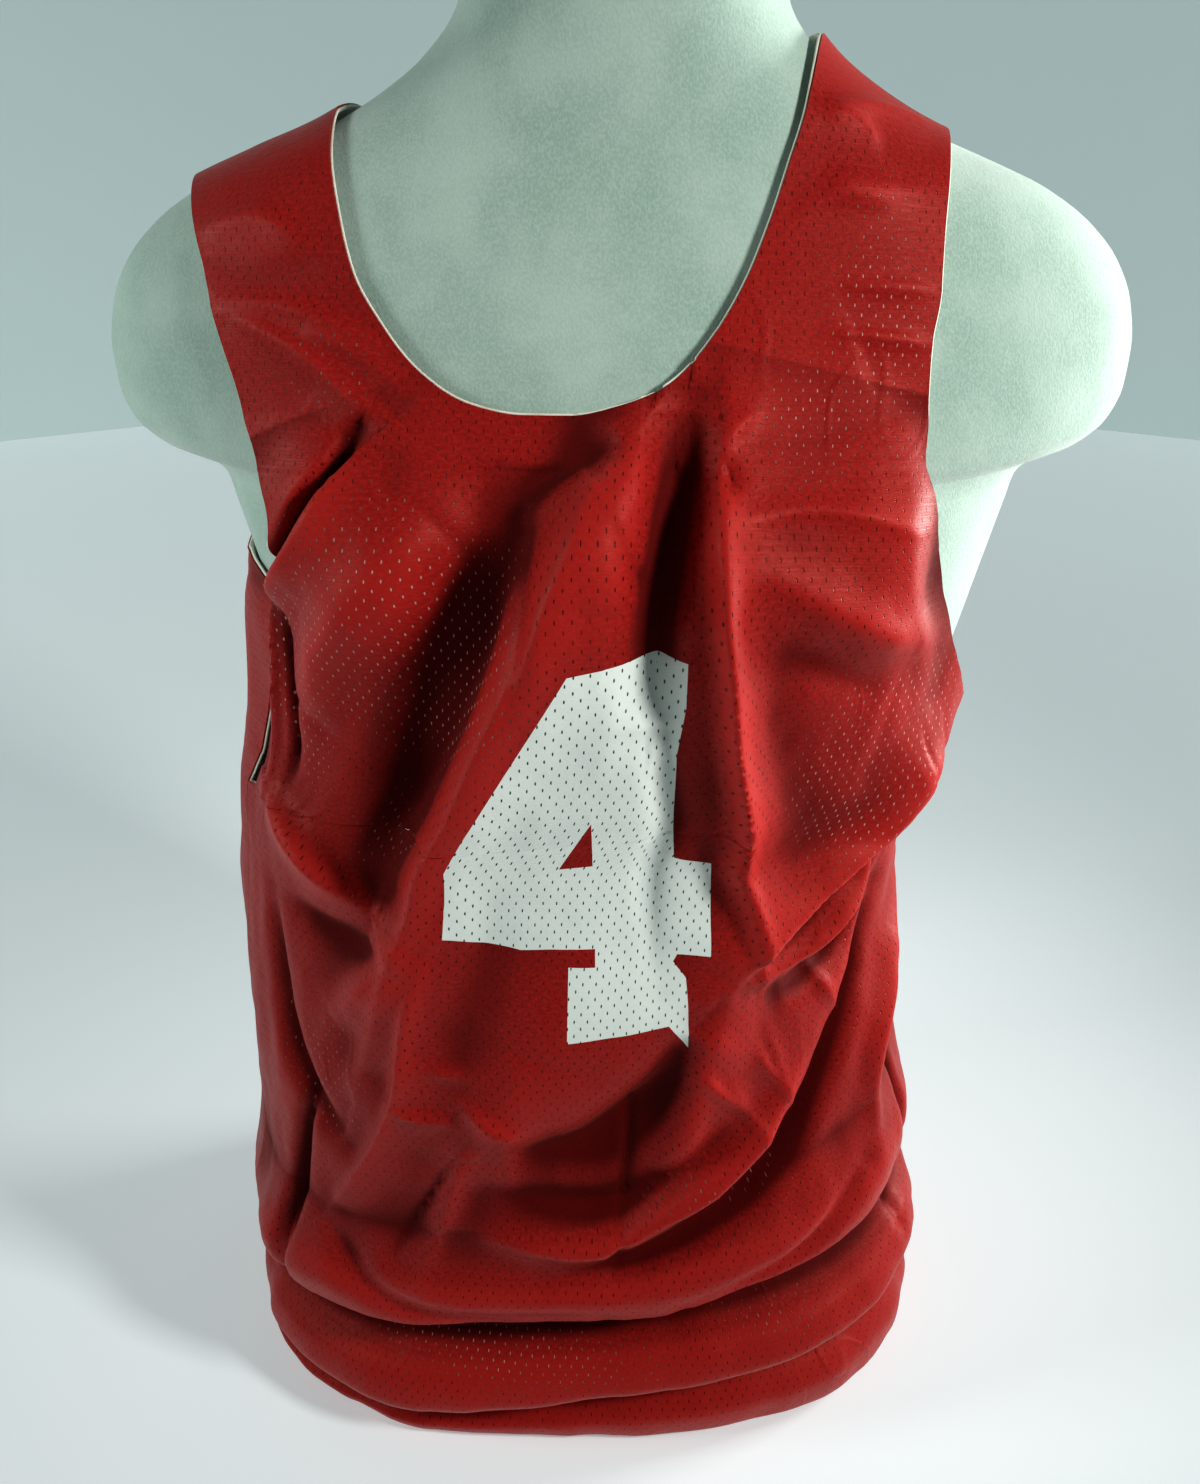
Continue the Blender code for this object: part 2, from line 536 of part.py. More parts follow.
def build_torso():
    """The smooth torso: oval rings, a flat foot and a flat neck top."""
    heights = np.array(column(TORSO, 0))
    wide, deep = torso_size(heights)
    turn = np.linspace(0, 2 * math.pi, TORSO_SEGMENTS, endpoint=False)
    points = [(w * math.sin(a), -d * math.cos(a), h)
              for h, w, d in zip(heights, wide, deep) for a in turn]
    faces = []
    for ring in range(len(heights) - 1):
        for k in range(TORSO_SEGMENTS):
            a, b = ring * TORSO_SEGMENTS + k, ring * TORSO_SEGMENTS + (k + 1) % TORSO_SEGMENTS
            faces.append((a, b, b + TORSO_SEGMENTS, a + TORSO_SEGMENTS))
    last = (len(heights) - 1) * TORSO_SEGMENTS
    faces.append(tuple(reversed(range(TORSO_SEGMENTS))))
    faces.append(tuple(range(last, last + TORSO_SEGMENTS)))
    return add_object("display_form", points, faces, TORSO_CLOTH)


def build_jersey():
    """The four cloth walls: front and back, red outside and white inside."""
    front = {
        "from": SEAM_LEFT, "to": SEAM_RIGHT, "arm_low": (ARMHOLE_LEFT, ARMHOLE_RIGHT),
        "neck": seen_outline(NECK_FRONT, False), "neck_columns": NECK_COLUMNS["front"],
        "arm_start": seen_outline(ARM_FRONT_LEFT, False),
        "arm_end": seen_outline(ARM_FRONT_RIGHT, False),
        "neck_foot": STRAP_FOOT["neck_front"], "arm_foot": STRAP_FOOT["arm_front"],
        "shelf_start": SHELF_START["front"], "shelf_columns": SHELF_COLUMNS["front"],
    }
    back = {
        "from": SEAM_RIGHT, "to": SEAM_LEFT + 2 * math.pi,
        "arm_low": (ARMHOLE_RIGHT, ARMHOLE_LEFT),
        "neck": seen_outline(NECK_BACK, True), "neck_columns": NECK_COLUMNS["back"],
        "arm_start": turned_outline(ARM_BACK_RIGHT, ARM_FRONT_RIGHT[-1][0]),
        "arm_end": turned_outline(ARM_BACK_LEFT, ARM_FRONT_LEFT[-1][0]),
        "neck_foot": STRAP_FOOT["neck_back"], "arm_foot": STRAP_FOOT["arm_back"],
        "shelf_start": SHELF_START["back"], "shelf_columns": SHELF_COLUMNS["back"],
    }
    folds = fold_paths()
    sheets, gapped = [], []
    for side in (front, back):
        points, blocks = panel_points(side, folds, 0.0)
        sheets.append((points, triangles(points, blocks)))
        gapped.append(panel_points(side, folds, SEAM_GAP)[0])
    normals = shared_normals(sheets)
    lining = CLOTH_WALL + LAYER_GAP
    for name, points, normal, (_, faces) in zip(("front", "back"), gapped, normals, sheets):
        add_object(name + "_panel", *wall(points, normal, faces, 0.0, CLOTH_WALL), RED_MESH)
        add_object(name + "_lining", *wall(points, normal, faces, lining, lining + CLOTH_WALL),
                   WHITE_MESH)


def stand_on_origin():
    """Move everything so that the box's bottom centre is the origin."""
    made = [item for item in bpy.data.objects if item.type == "MESH"]
    corners = np.array([tuple(v.co) for item in made for v in item.data.vertices])
    low, high = corners.min(0), corners.max(0)
    middle = (low + high) / 2
    for item in made:
        for vertex in item.data.vertices:
            vertex.co.x -= middle[0]
            vertex.co.y -= middle[1]
            vertex.co.z -= low[2]


def main():
    """Clear the scene and build the torso and the jersey."""
    for item in list(bpy.data.objects):
        bpy.data.objects.remove(item)
    build_torso()
    build_jersey()
    stand_on_origin()


main()
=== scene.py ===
# %% [markdown]
# # A basketball jersey on a display torso
# This lesson dresses a plain solid model of a mesh jersey that hangs on a limbless
# display torso.  The solids give the sizes; here every piece gets its fine shape
# and its cloth.  Lengths are metres unless a comment says otherwise, up is +Z and the
# chest faces -Y.

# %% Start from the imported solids
import math

import bpy
import numpy as np
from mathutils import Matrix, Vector, noise


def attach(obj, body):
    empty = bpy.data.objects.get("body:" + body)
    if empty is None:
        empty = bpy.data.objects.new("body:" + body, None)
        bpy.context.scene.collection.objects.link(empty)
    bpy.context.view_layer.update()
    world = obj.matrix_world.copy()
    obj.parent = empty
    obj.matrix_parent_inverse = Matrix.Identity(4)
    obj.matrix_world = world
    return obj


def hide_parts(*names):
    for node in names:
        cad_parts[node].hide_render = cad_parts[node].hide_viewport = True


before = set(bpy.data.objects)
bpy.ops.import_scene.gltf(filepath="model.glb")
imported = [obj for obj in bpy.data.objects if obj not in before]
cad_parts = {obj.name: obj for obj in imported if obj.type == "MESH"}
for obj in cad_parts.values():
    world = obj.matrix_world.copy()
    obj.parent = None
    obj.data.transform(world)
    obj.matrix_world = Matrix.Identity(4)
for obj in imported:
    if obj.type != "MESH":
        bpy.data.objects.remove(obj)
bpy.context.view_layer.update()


def placed(name, data):
    """A new object in the scene."""
    made = bpy.data.objects.new(name, data)
    bpy.context.scene.collection.objects.link(made)
    return made


def smooth_mesh(name, points, faces, finish, sharp=180):
    """A smooth mesh with one finish; edges sharper than an angle in degrees stay crisp."""
    mesh = bpy.data.meshes.new(name)
    mesh.from_pydata(points, [], faces)
    mesh.update()
    mesh.shade_smooth()
    mesh.set_sharp_from_angle(angle=math.radians(sharp))
    mesh.materials.append(finish)
    return mesh

# %% [markdown]
# ## Camera
# The jersey is seen from a little above its chest, looking down.  A fixed lens and a
# fixed place are simpler and more repeatable than a camera that tracks an object.

# %% Camera
CAMERA_PLACE = (-0.0105, -0.6939, 0.751)
CAMERA_TILT = 62.7          # degrees from straight down
CAMERA_LENS = 33.96         # millimetres
NEAREST_SEEN = 0.01
camera = placed("camera", bpy.data.cameras.new("camera"))
camera.data.lens = CAMERA_LENS
camera.data.clip_start = NEAREST_SEEN
camera.location = CAMERA_PLACE
camera.rotation_euler = (math.radians(CAMERA_TILT), 0.0, 0.0)
bpy.context.scene.camera = camera
print("camera at", CAMERA_PLACE)

# %% [markdown]
# ## Colours as seen
# Saturated red cloth turns pale under a film-like view transform.  The plain
# "Standard" one keeps it as deep as the dye.

# %% Colour view
bpy.context.scene.view_settings.view_transform = "Standard"
bpy.context.scene.view_settings.look = "None"

# %% [markdown]
# ## Node helpers
# A material here is a small recipe of nodes.  A Value is the output of one of them and
# can be added, multiplied and compared like a number, so that each recipe reads as a
# short formula.

# %% Node helpers
class Value:
    """A node's output; sums and products of values make Math nodes."""

    def __init__(self, socket):
        self.socket = socket

    def node(self, kind):
        """A new node in the same recipe."""
        return self.socket.id_data.nodes.new(kind)

    def maths(self, operation, second=0.0, third=0.0):
        """One Math node that starts from this value."""
        made = self.node("ShaderNodeMath")
        made.operation = operation
        feed_all((self, second, third), made)
        return Value(made.outputs[0])

    def __add__(self, other):
        return self.maths("ADD", other)

    def __sub__(self, other):
        return self.maths("SUBTRACT", other)

    def __mul__(self, other):
        return self.maths("MULTIPLY", other)

    def __truediv__(self, other):
        return self.maths("DIVIDE", other)


def feed(value, socket):
    """Wire a value into a socket, or set a constant there."""
    if isinstance(value, Value):
        socket.id_data.links.new(value.socket, socket)
    else:
        socket.default_value = value


def feed_all(values, node):
    """Feed the first sockets of a node in turn."""
    for value, socket in zip(values, node.inputs):
        feed(value, socket)


def finished(name, constants):
    """An empty material, its nodes and its shader with constants set by name."""
    made = bpy.data.materials.new(name)
    made.use_nodes = True
    shader = made.node_tree.nodes["Principled BSDF"]
    for socket, value in constants.items():
        shader.inputs[socket].default_value = value
    return made, made.node_tree.nodes, shader.inputs


def ramp(value, low, high, to_low=0.0, to_high=1.0):
    """A smooth step from to_low to to_high while value goes from low to high."""
    made = value.node("ShaderNodeMapRange")
    made.interpolation_type = "SMOOTHSTEP"
    feed_all((value, low, high, to_low, to_high), made)
    return Value(made.outputs[0])


def blend(share, first, second):
    """A mix of two colours."""
    made = share.node("ShaderNodeMix")
    made.data_type = "RGBA"
    feed(share, made.inputs[0])
    for value, socket in ((first, made.inputs[6]), (second, made.inputs[7])):
        feed(value if isinstance(value, Value) else (*value, 1.0), socket)
    return Value(made.outputs[2])


def noise_at(place, scale, detail=2.0, roughness=0.5):
    """A grey noise; a scale of three numbers stretches it along the axes."""
    if isinstance(scale, tuple):
        stretch = place.node("ShaderNodeMapping")
        feed(place, stretch.inputs["Vector"])
        stretch.inputs["Scale"].default_value = scale
        place, scale = Value(stretch.outputs[0]), 1.0
    made = place.node("ShaderNodeTexNoise")
    feed(place, made.inputs["Vector"])
    for socket, value in (("Scale", scale), ("Detail", detail), ("Roughness", roughness)):
        made.inputs[socket].default_value = value
    return Value(made.outputs[0])


def bumped(height, distance, strength, before=None):
    """A bump of a given height in metres."""
    made = height.node("ShaderNodeBump")
    made.inputs["Strength"].default_value = strength
    made.inputs["Distance"].default_value = distance
    feed(height, made.inputs["Height"])
    if before is not None:
        feed(before, made.inputs["Normal"])
    return Value(made.outputs[0])


def object_place(nodes):
    """The place of a point in its object."""
    return Value(nodes.new("ShaderNodeTexCoord").outputs["Object"])


def attribute(nodes, name):
    """A number stored on the piece's points."""
    made = nodes.new("ShaderNodeAttribute")
    made.attribute_name = name
    return Value(made.outputs["Fac"])

# %% [markdown]
# ## Stage and light
# A pale table and a round backdrop.  The key lamp stands high in front, at the
# viewer's right, so that every fold has a lit and a dark side.  A weak, wide lamp at
# the left fills the shadows, and a low one at the right lights the rims.

# %% Stage and light
WALL_RADIUS = 2.4
WALL_HEIGHT = 2.6
TABLE_HALF = 4              # half the side of the square table
STAGE_MOTTLE = 0.95         # the darker tone of a stage surface, as a share
BEAM = 62                   # how wide the lights shine, in degrees
MIDDLE = (0.0, 0.0, 0.50)   # the point that the two weaker lamps face
WARM = (1.0, 0.99, 0.96)


def stage_surface(name, points, faces, colour, glow):
    """One plain pale surface that isn't part of the object."""
    finish, nodes, shader = finished(name + "_finish", {
        "Roughness": 0.6, "Emission Color": (*colour, 1.0), "Emission Strength": glow})
    darker = tuple(c * STAGE_MOTTLE for c in colour)
    feed(blend(noise_at(object_place(nodes), 3.0, 3.0), darker, colour), shader["Base Color"])
    made = placed(name, smooth_mesh(name, points, faces, finish))


def soft_light(name, place, aim, size, power, colour):
    """A square area light that faces a point."""
    lamp = bpy.data.lights.new(name, "AREA")
    lamp.size = size
    lamp.energy = power
    lamp.spread = math.radians(BEAM)
    lamp.color = colour
    made = placed(name, lamp)
    made.location = place
    made.rotation_euler = (Vector(aim) - Vector(place)).to_track_quat("-Z", "Y").to_euler()


stage_surface("table", [(x * TABLE_HALF, y * TABLE_HALF, 0)
                        for x, y in ((-1, -1), (1, -1), (1, 1), (-1, 1))], [(0, 1, 2, 3)],
              (0.80, 0.86, 0.88), 0.36)
arc = [math.radians(angle) for angle in range(-10, 191, 10)]
ring = [(WALL_RADIUS * math.cos(a), WALL_RADIUS * math.sin(a)) for a in arc]
stage_surface("backdrop", [(x, y, z) for z in (0.0, WALL_HEIGHT) for x, y in ring],
              [(k + 1, k, k + len(ring), k + 1 + len(ring)) for k in range(len(ring) - 1)],
              (0.42, 0.52, 0.51), 0.55)
soft_light("key_light", (1.14, -0.78, 1.22), (0.0, 0.0, 0.51), 0.24, 3.2, WARM)
soft_light("fill_light", (-1.35, -0.40, 0.90), MIDDLE, 0.40, 1.5, (0.96, 1.0, 0.98))
soft_light("edge_light", (1.30, 0.40, 0.60), MIDDLE, 0.40, 4.4, WARM)
world = bpy.data.worlds.new("room")
world.use_nodes = True
world.node_tree.nodes["Background"].inputs[0].default_value = (0.62, 0.92, 0.82, 1.0)
world.node_tree.nodes["Background"].inputs[1].default_value = 0.045
bpy.context.scene.world = world

# %% [markdown]
# ## Sizes of the torso and of the hanging cloth
# The torso is a stack of ovals.  The cloth is one surface round it, given by its
# oval at each height and by two soft rolls at its foot, because the jersey is longer
# than the torso.  They follow the solids' sizes, so the fine pieces stay in place; only
# the rolls hang a little lower and deeper.

# %% Sizes
CLOTH_WALL = 0.0010         # thickness of one knitted layer
LAYER_GAP = 0.0004          # air between the red and the white layer
SEAM_GAP = 0.0003           # air between two panels where a seam joins them
BODY_CLEARANCE = 0.0035     # outer face of the red layer to the torso
PIVOT = 0.580               # height where the cloth starts to lean over the shoulder
SWING_RADIUS = 0.110        # arc radius that turns rise into shoulder angle
CREST = PIVOT + SWING_RADIUS * math.pi / 2
REACH_LIMIT = 0.30          # nothing on the shoulder's arc is further from its middle
REACH_HALVINGS = 30
BEND_REACH = 0.040          # how far the bend at PIVOT is rounded, up and down
BEND_SPREAD = 0.8           # widest step of that rounding, as a share of the reach
BEND_WEIGHTS = (1, 2, 3, 4, 4, 4, 3, 2, 1)
HEM_LEVEL = 0.0004          # air between the table and the turned-in hem
SEAM_LEFT = math.radians(-69)
SEAM_RIGHT = math.radians(84)
ARMHOLE_LEFT = 0.392        # height where the side seam meets the armhole
ARMHOLE_RIGHT = 0.4205
SWAG_REACH = 0.070          # height of the zone over the swag's lip
FOLD_SCALE = 0.200          # radius that turns azimuth into length across a fold
TO_AXIS = (0.0, 0.0061, 0.0)    # the torso's own axis stands behind the origin

# Torso: height, half width, half depth.
TORSO = (
    (0.000, 0.164, 0.116), (0.060, 0.170, 0.121), (0.120, 0.166, 0.118),
    (0.190, 0.152, 0.108), (0.260, 0.140, 0.100), (0.320, 0.141, 0.102),
    (0.370, 0.150, 0.108), (0.410, 0.160, 0.113), (0.460, 0.176, 0.118),
    (0.510, 0.188, 0.119), (0.538, 0.195, 0.116), (0.553, 0.199, 0.112),
    (0.5625, 0.210, 0.107), (0.5685, 0.230, 0.104), (0.578, 0.2415, 0.101),
    (0.592, 0.247, 0.097),
    (0.610, 0.248, 0.092), (0.632, 0.244, 0.086), (0.650, 0.235, 0.081),
    (0.667, 0.219, 0.077), (0.682, 0.196, 0.073), (0.694, 0.168, 0.070),
    (0.706, 0.138, 0.067), (0.720, 0.112, 0.065), (0.736, 0.090, 0.063),
    (0.756, 0.074, 0.061), (0.782, 0.067, 0.060), (0.824, 0.066, 0.059),
    (0.830, 0.062, 0.055),
)

# Jersey below PIVOT: height, middle, half width, depth in front, depth behind,
# squareness (2 is an ellipse, more is boxier).
JERSEY = (
    (0.000, -0.018, 0.209, 0.152, 0.140, 2.65), (0.060, -0.020, 0.206, 0.151, 0.140, 2.60),
    (0.120, -0.022, 0.200, 0.151, 0.139, 2.50), (0.180, -0.025, 0.196, 0.149, 0.137, 2.35),
    (0.240, -0.028, 0.191, 0.146, 0.133, 2.25), (0.300, -0.030, 0.186, 0.141, 0.130, 2.15),
    (0.360, -0.026, 0.185, 0.137, 0.128, 2.08),
    (0.385, -0.0235, 0.1855, 0.136, 0.128, 2.05), (0.420, -0.009, 0.194, 0.135, 0.127, 2.02),
    (0.460, -0.004, 0.194, 0.133, 0.127, 2.00), (0.510, 0.000, 0.197, 0.130, 0.126, 2.00),
    (0.545, 0.000, 0.216, 0.123, 0.122, 2.00), (0.580, 0.000, 0.2495, 0.1065, 0.1065, 2.00),
)

# Rolls at the foot of the jersey: azimuth in degrees, height of the lower
# roll's lip, height of the upper swag's lip, how far each of them hangs over.
LIPS = (
    (-90, 0.026, 0.095, 0.10, 0.20), (-69, 0.025, 0.090, 0.25, 0.50),
    (-50, 0.026, 0.088, 0.70, 1.00), (-28, 0.030, 0.094, 1.00, 1.00),
    (-7, 0.042, 0.101, 1.00, 1.00), (11, 0.056, 0.108, 1.00, 1.00),
    (28, 0.064, 0.118, 1.00, 1.00), (44, 0.070, 0.128, 1.00, 0.90),
    (66, 0.076, 0.142, 0.70, 0.50), (90, 0.070, 0.140, 0.40, 0.30),
    (130, 0.050, 0.122, 0.80, 0.80), (180, 0.042, 0.112, 0.90, 1.00),
    (230, 0.034, 0.106, 0.50, 0.80), (270, 0.026, 0.095, 0.00, 0.20),
)

# Rows of the foot, from the hem upwards: zone (0 table to lower lip, 1 lower
# lip to swag, 2 over the swag), share of the zone, lift and shift outwards
# where the cloth rolls over, and which roll carries them.
FOOT_ROWS = (
    (0, 0.000, 0.0000, -0.0180, "hem"), (0, 0.004, 0.0000, -0.0085, "hem"),
    (0, 0.080, 0.0000, -0.0015, "hem"), (0, 0.360, 0.0000, 0.0020, "hem"),
    (0, 0.560, 0.0000, -0.0030, "roll"), (0, 0.720, 0.0000, -0.0120, "roll"),
    (0, 0.900, 0.0010, -0.0160, "roll"), (1, 0.015, 0.0025, -0.0160, "roll"),
    (1, 0.055, -0.0050, -0.0030, "roll"), (1, 0.110, -0.0065, 0.0060, "roll"),
    (1, 0.250, -0.0060, 0.0110, "roll"), (1, 0.430, -0.0020, 0.0070, "roll"),
    (1, 0.580, 0.0000, -0.0040, "roll"), (1, 0.750, 0.0000, -0.0130, "swag"),
    (1, 0.930, 0.0010, -0.0190, "swag"), (2, 0.030, 0.0000, -0.0160, "swag"),
    (2, 0.090, -0.0040, -0.0020, "swag"), (2, 0.170, -0.0050, 0.0075, "swag"),
    (2, 0.420, -0.0040, 0.0120, "swag"), (2, 0.700, 0.0000, 0.0055, "swag"),
    (2, 1.000, 0.0000, 0.0000, "swag"),
)
print("torso rings:", len(TORSO), " cloth rings:", len(JERSEY), " foot rows:", len(FOOT_ROWS))

# %% [markdown]
# ## Smooth curves through tables
# Every outline is a short table.  A monotone curve goes through its values without
# swinging past them, so a roll never bulges where the table says it is flat.

# %% Smooth curves
TINY = 1e-12                # keeps divisions by zero away


def curve(knots, values, at):
    """Smooth curve through (knots, values) that never swings past a knot."""
    knots = np.asarray(knots, float)
    values = np.asarray(values, float)
    step = np.diff(knots)
    rise = np.diff(values) / step
    slope = np.zeros(len(knots))
    turns = rise[1:] * rise[:-1] > 0
    slope[1:-1][turns] = (2 * rise[1:] * rise[:-1] / (rise[1:] + rise[:-1] + TINY))[turns]
    slope[0], slope[-1] = rise[0], rise[-1]
    at = np.clip(np.asarray(at, float), knots[0], knots[-1])
    cell = np.clip(np.searchsorted(knots, at, side="right") - 1, 0, len(step) - 1)
    t = (at - knots[cell]) / step[cell]
    h = step[cell]
    return (values[cell] * (1 + 2 * t) * (1 - t) ** 2 + values[cell + 1] * t * t * (3 - 2 * t)
            + h * slope[cell] * t * (1 - t) ** 2 - h * slope[cell + 1] * t * t * (1 - t))


def read_table(table, at):
    """All columns of a table, read at values of its first one."""
    knots, *columns = zip(*table)
    return [curve(knots, column, at) for column in columns]


def torso_size(height):
    """Half width and half depth of the torso at a height."""
    return read_table(TORSO, height)


def jersey_size(height):
    """Middle, half width, both depths and squareness of the hanging cloth."""
    return read_table(JERSEY, height)


def lips(azimuth):
    """Heights and overhangs of the two lips at an azimuth in radians."""
    degrees = np.degrees(azimuth)
    return read_table(LIPS, np.where(degrees > LIPS[-1][0], degrees - 360, degrees))

# %% [markdown]
# ## The cloth as one surface
# Azimuth goes round the torso (0 at the chest) and rise goes up the cloth.  Over the
# shoulder the rise becomes an arc from the chest to the crest, so that the straps
# lie on the torso without a pole or a kink.

# %% The cloth surface
def rise_of(x, height):
    """Rise of a point of the cloth; a height of None is the shoulder's crest."""
    if height is None:
        return CREST
    if height <= PIVOT:
        return height
    wide, deep = (float(size) + BODY_CLEARANCE for size in torso_size(height))
    forward = deep * math.sqrt(max(0.0, 1 - (x / wide) ** 2))
    return PIVOT + SWING_RADIUS * math.atan2(height - PIVOT, forward)


def place(x, height, behind=False):
    """Azimuth and rise of a point of the cloth seen from the front or behind."""
    level = PIVOT if height is None else min(height, PIVOT)
    middle, half, _, _, square = (float(size) for size in jersey_size(level))
    share = min(1.0, abs(x - middle) / half)
    forward = (1 - share ** square) ** (1 / square)
    azimuth = math.copysign(math.atan2(share, forward), x - middle)
    return (math.pi - azimuth if behind else azimuth), rise_of(x, height)


def surface(azimuth, rise):
    """Points of the smooth cloth before folds, rounded where it leaves the shoulder."""
    azimuth, rise = np.broadcast_arrays(azimuth, rise)
    points = raw_surface(azimuth, rise)
    near = np.abs(rise - PIVOT) < BEND_REACH
    if near.any():
        spread = BEND_REACH * (1 - ((rise[near] - PIVOT) / BEND_REACH) ** 2) ** 2 * BEND_SPREAD
        total = np.zeros((int(near.sum()), 3))
        for step, weight in zip(np.linspace(-1, 1, len(BEND_WEIGHTS)), BEND_WEIGHTS):
            total += weight * raw_surface(azimuth[near], rise[near] + step * spread)
        points[near] = total / sum(BEND_WEIGHTS)
    return points


def raw_surface(azimuth, rise):
    """Points of the hanging cloth below PIVOT and of the shoulder's arc above it."""
    low = np.minimum(rise, PIVOT)
    middle, half, front, back, square = jersey_size(low)
    sine, cosine = np.sin(azimuth), np.cos(azimuth)
    side = np.where(cosine > 0, -1.0, 1.0)
    stretch = (np.abs(sine) ** square + np.abs(cosine) ** square) ** (-1 / square)
    x = middle + half * sine * stretch
    y = -np.where(side < 0, front, back) * cosine * stretch
    z = low.copy()
    over = rise > PIVOT
    swing = (rise[over] - PIVOT) / SWING_RADIUS
    near, far = np.zeros_like(swing), np.full_like(swing, REACH_LIMIT)
    for _ in range(REACH_HALVINGS):
        reach = (near + far) / 2
        wide, deep = torso_size(PIVOT + (reach - BODY_CLEARANCE) * np.sin(swing))
        out_of = ((x[over] / (wide + BODY_CLEARANCE)) ** 2
                  + (reach * np.cos(swing) / (deep + BODY_CLEARANCE)) ** 2) > 1
        near, far = np.where(out_of, near, reach), np.where(out_of, reach, far)
    y[over] = side[over] * near * np.cos(swing)
    z[over] = PIVOT + near * np.sin(swing)
    return np.stack([x, y, z], -1)


def outward(azimuth, rise):
    """Unit normals of the smooth cloth."""
    turn, climb = 0.010, 0.004
    across = surface(azimuth + turn, rise) - surface(azimuth - turn, rise)
    up = surface(azimuth, rise + climb) - surface(azimuth, rise - climb)
    normal = np.cross(across, up)
    return normal / np.linalg.norm(normal, axis=-1, keepdims=True)


def room_behind(azimuth, rise):
    """How far the smooth cloth could still sink before it reached the torso."""
    points = raw_surface(azimuth, rise)
    wide, deep = torso_size(points[..., 2])
    ratio = np.sqrt((points[..., 0] / (wide + BODY_CLEARANCE)) ** 2
                    + (points[..., 1] / (deep + BODY_CLEARANCE)) ** 2)
    gap = np.linalg.norm(points[..., :2], axis=-1) * (1 - 1 / ratio)
    return np.where(rise < PIVOT, np.maximum(gap, 0.0), 0.0)
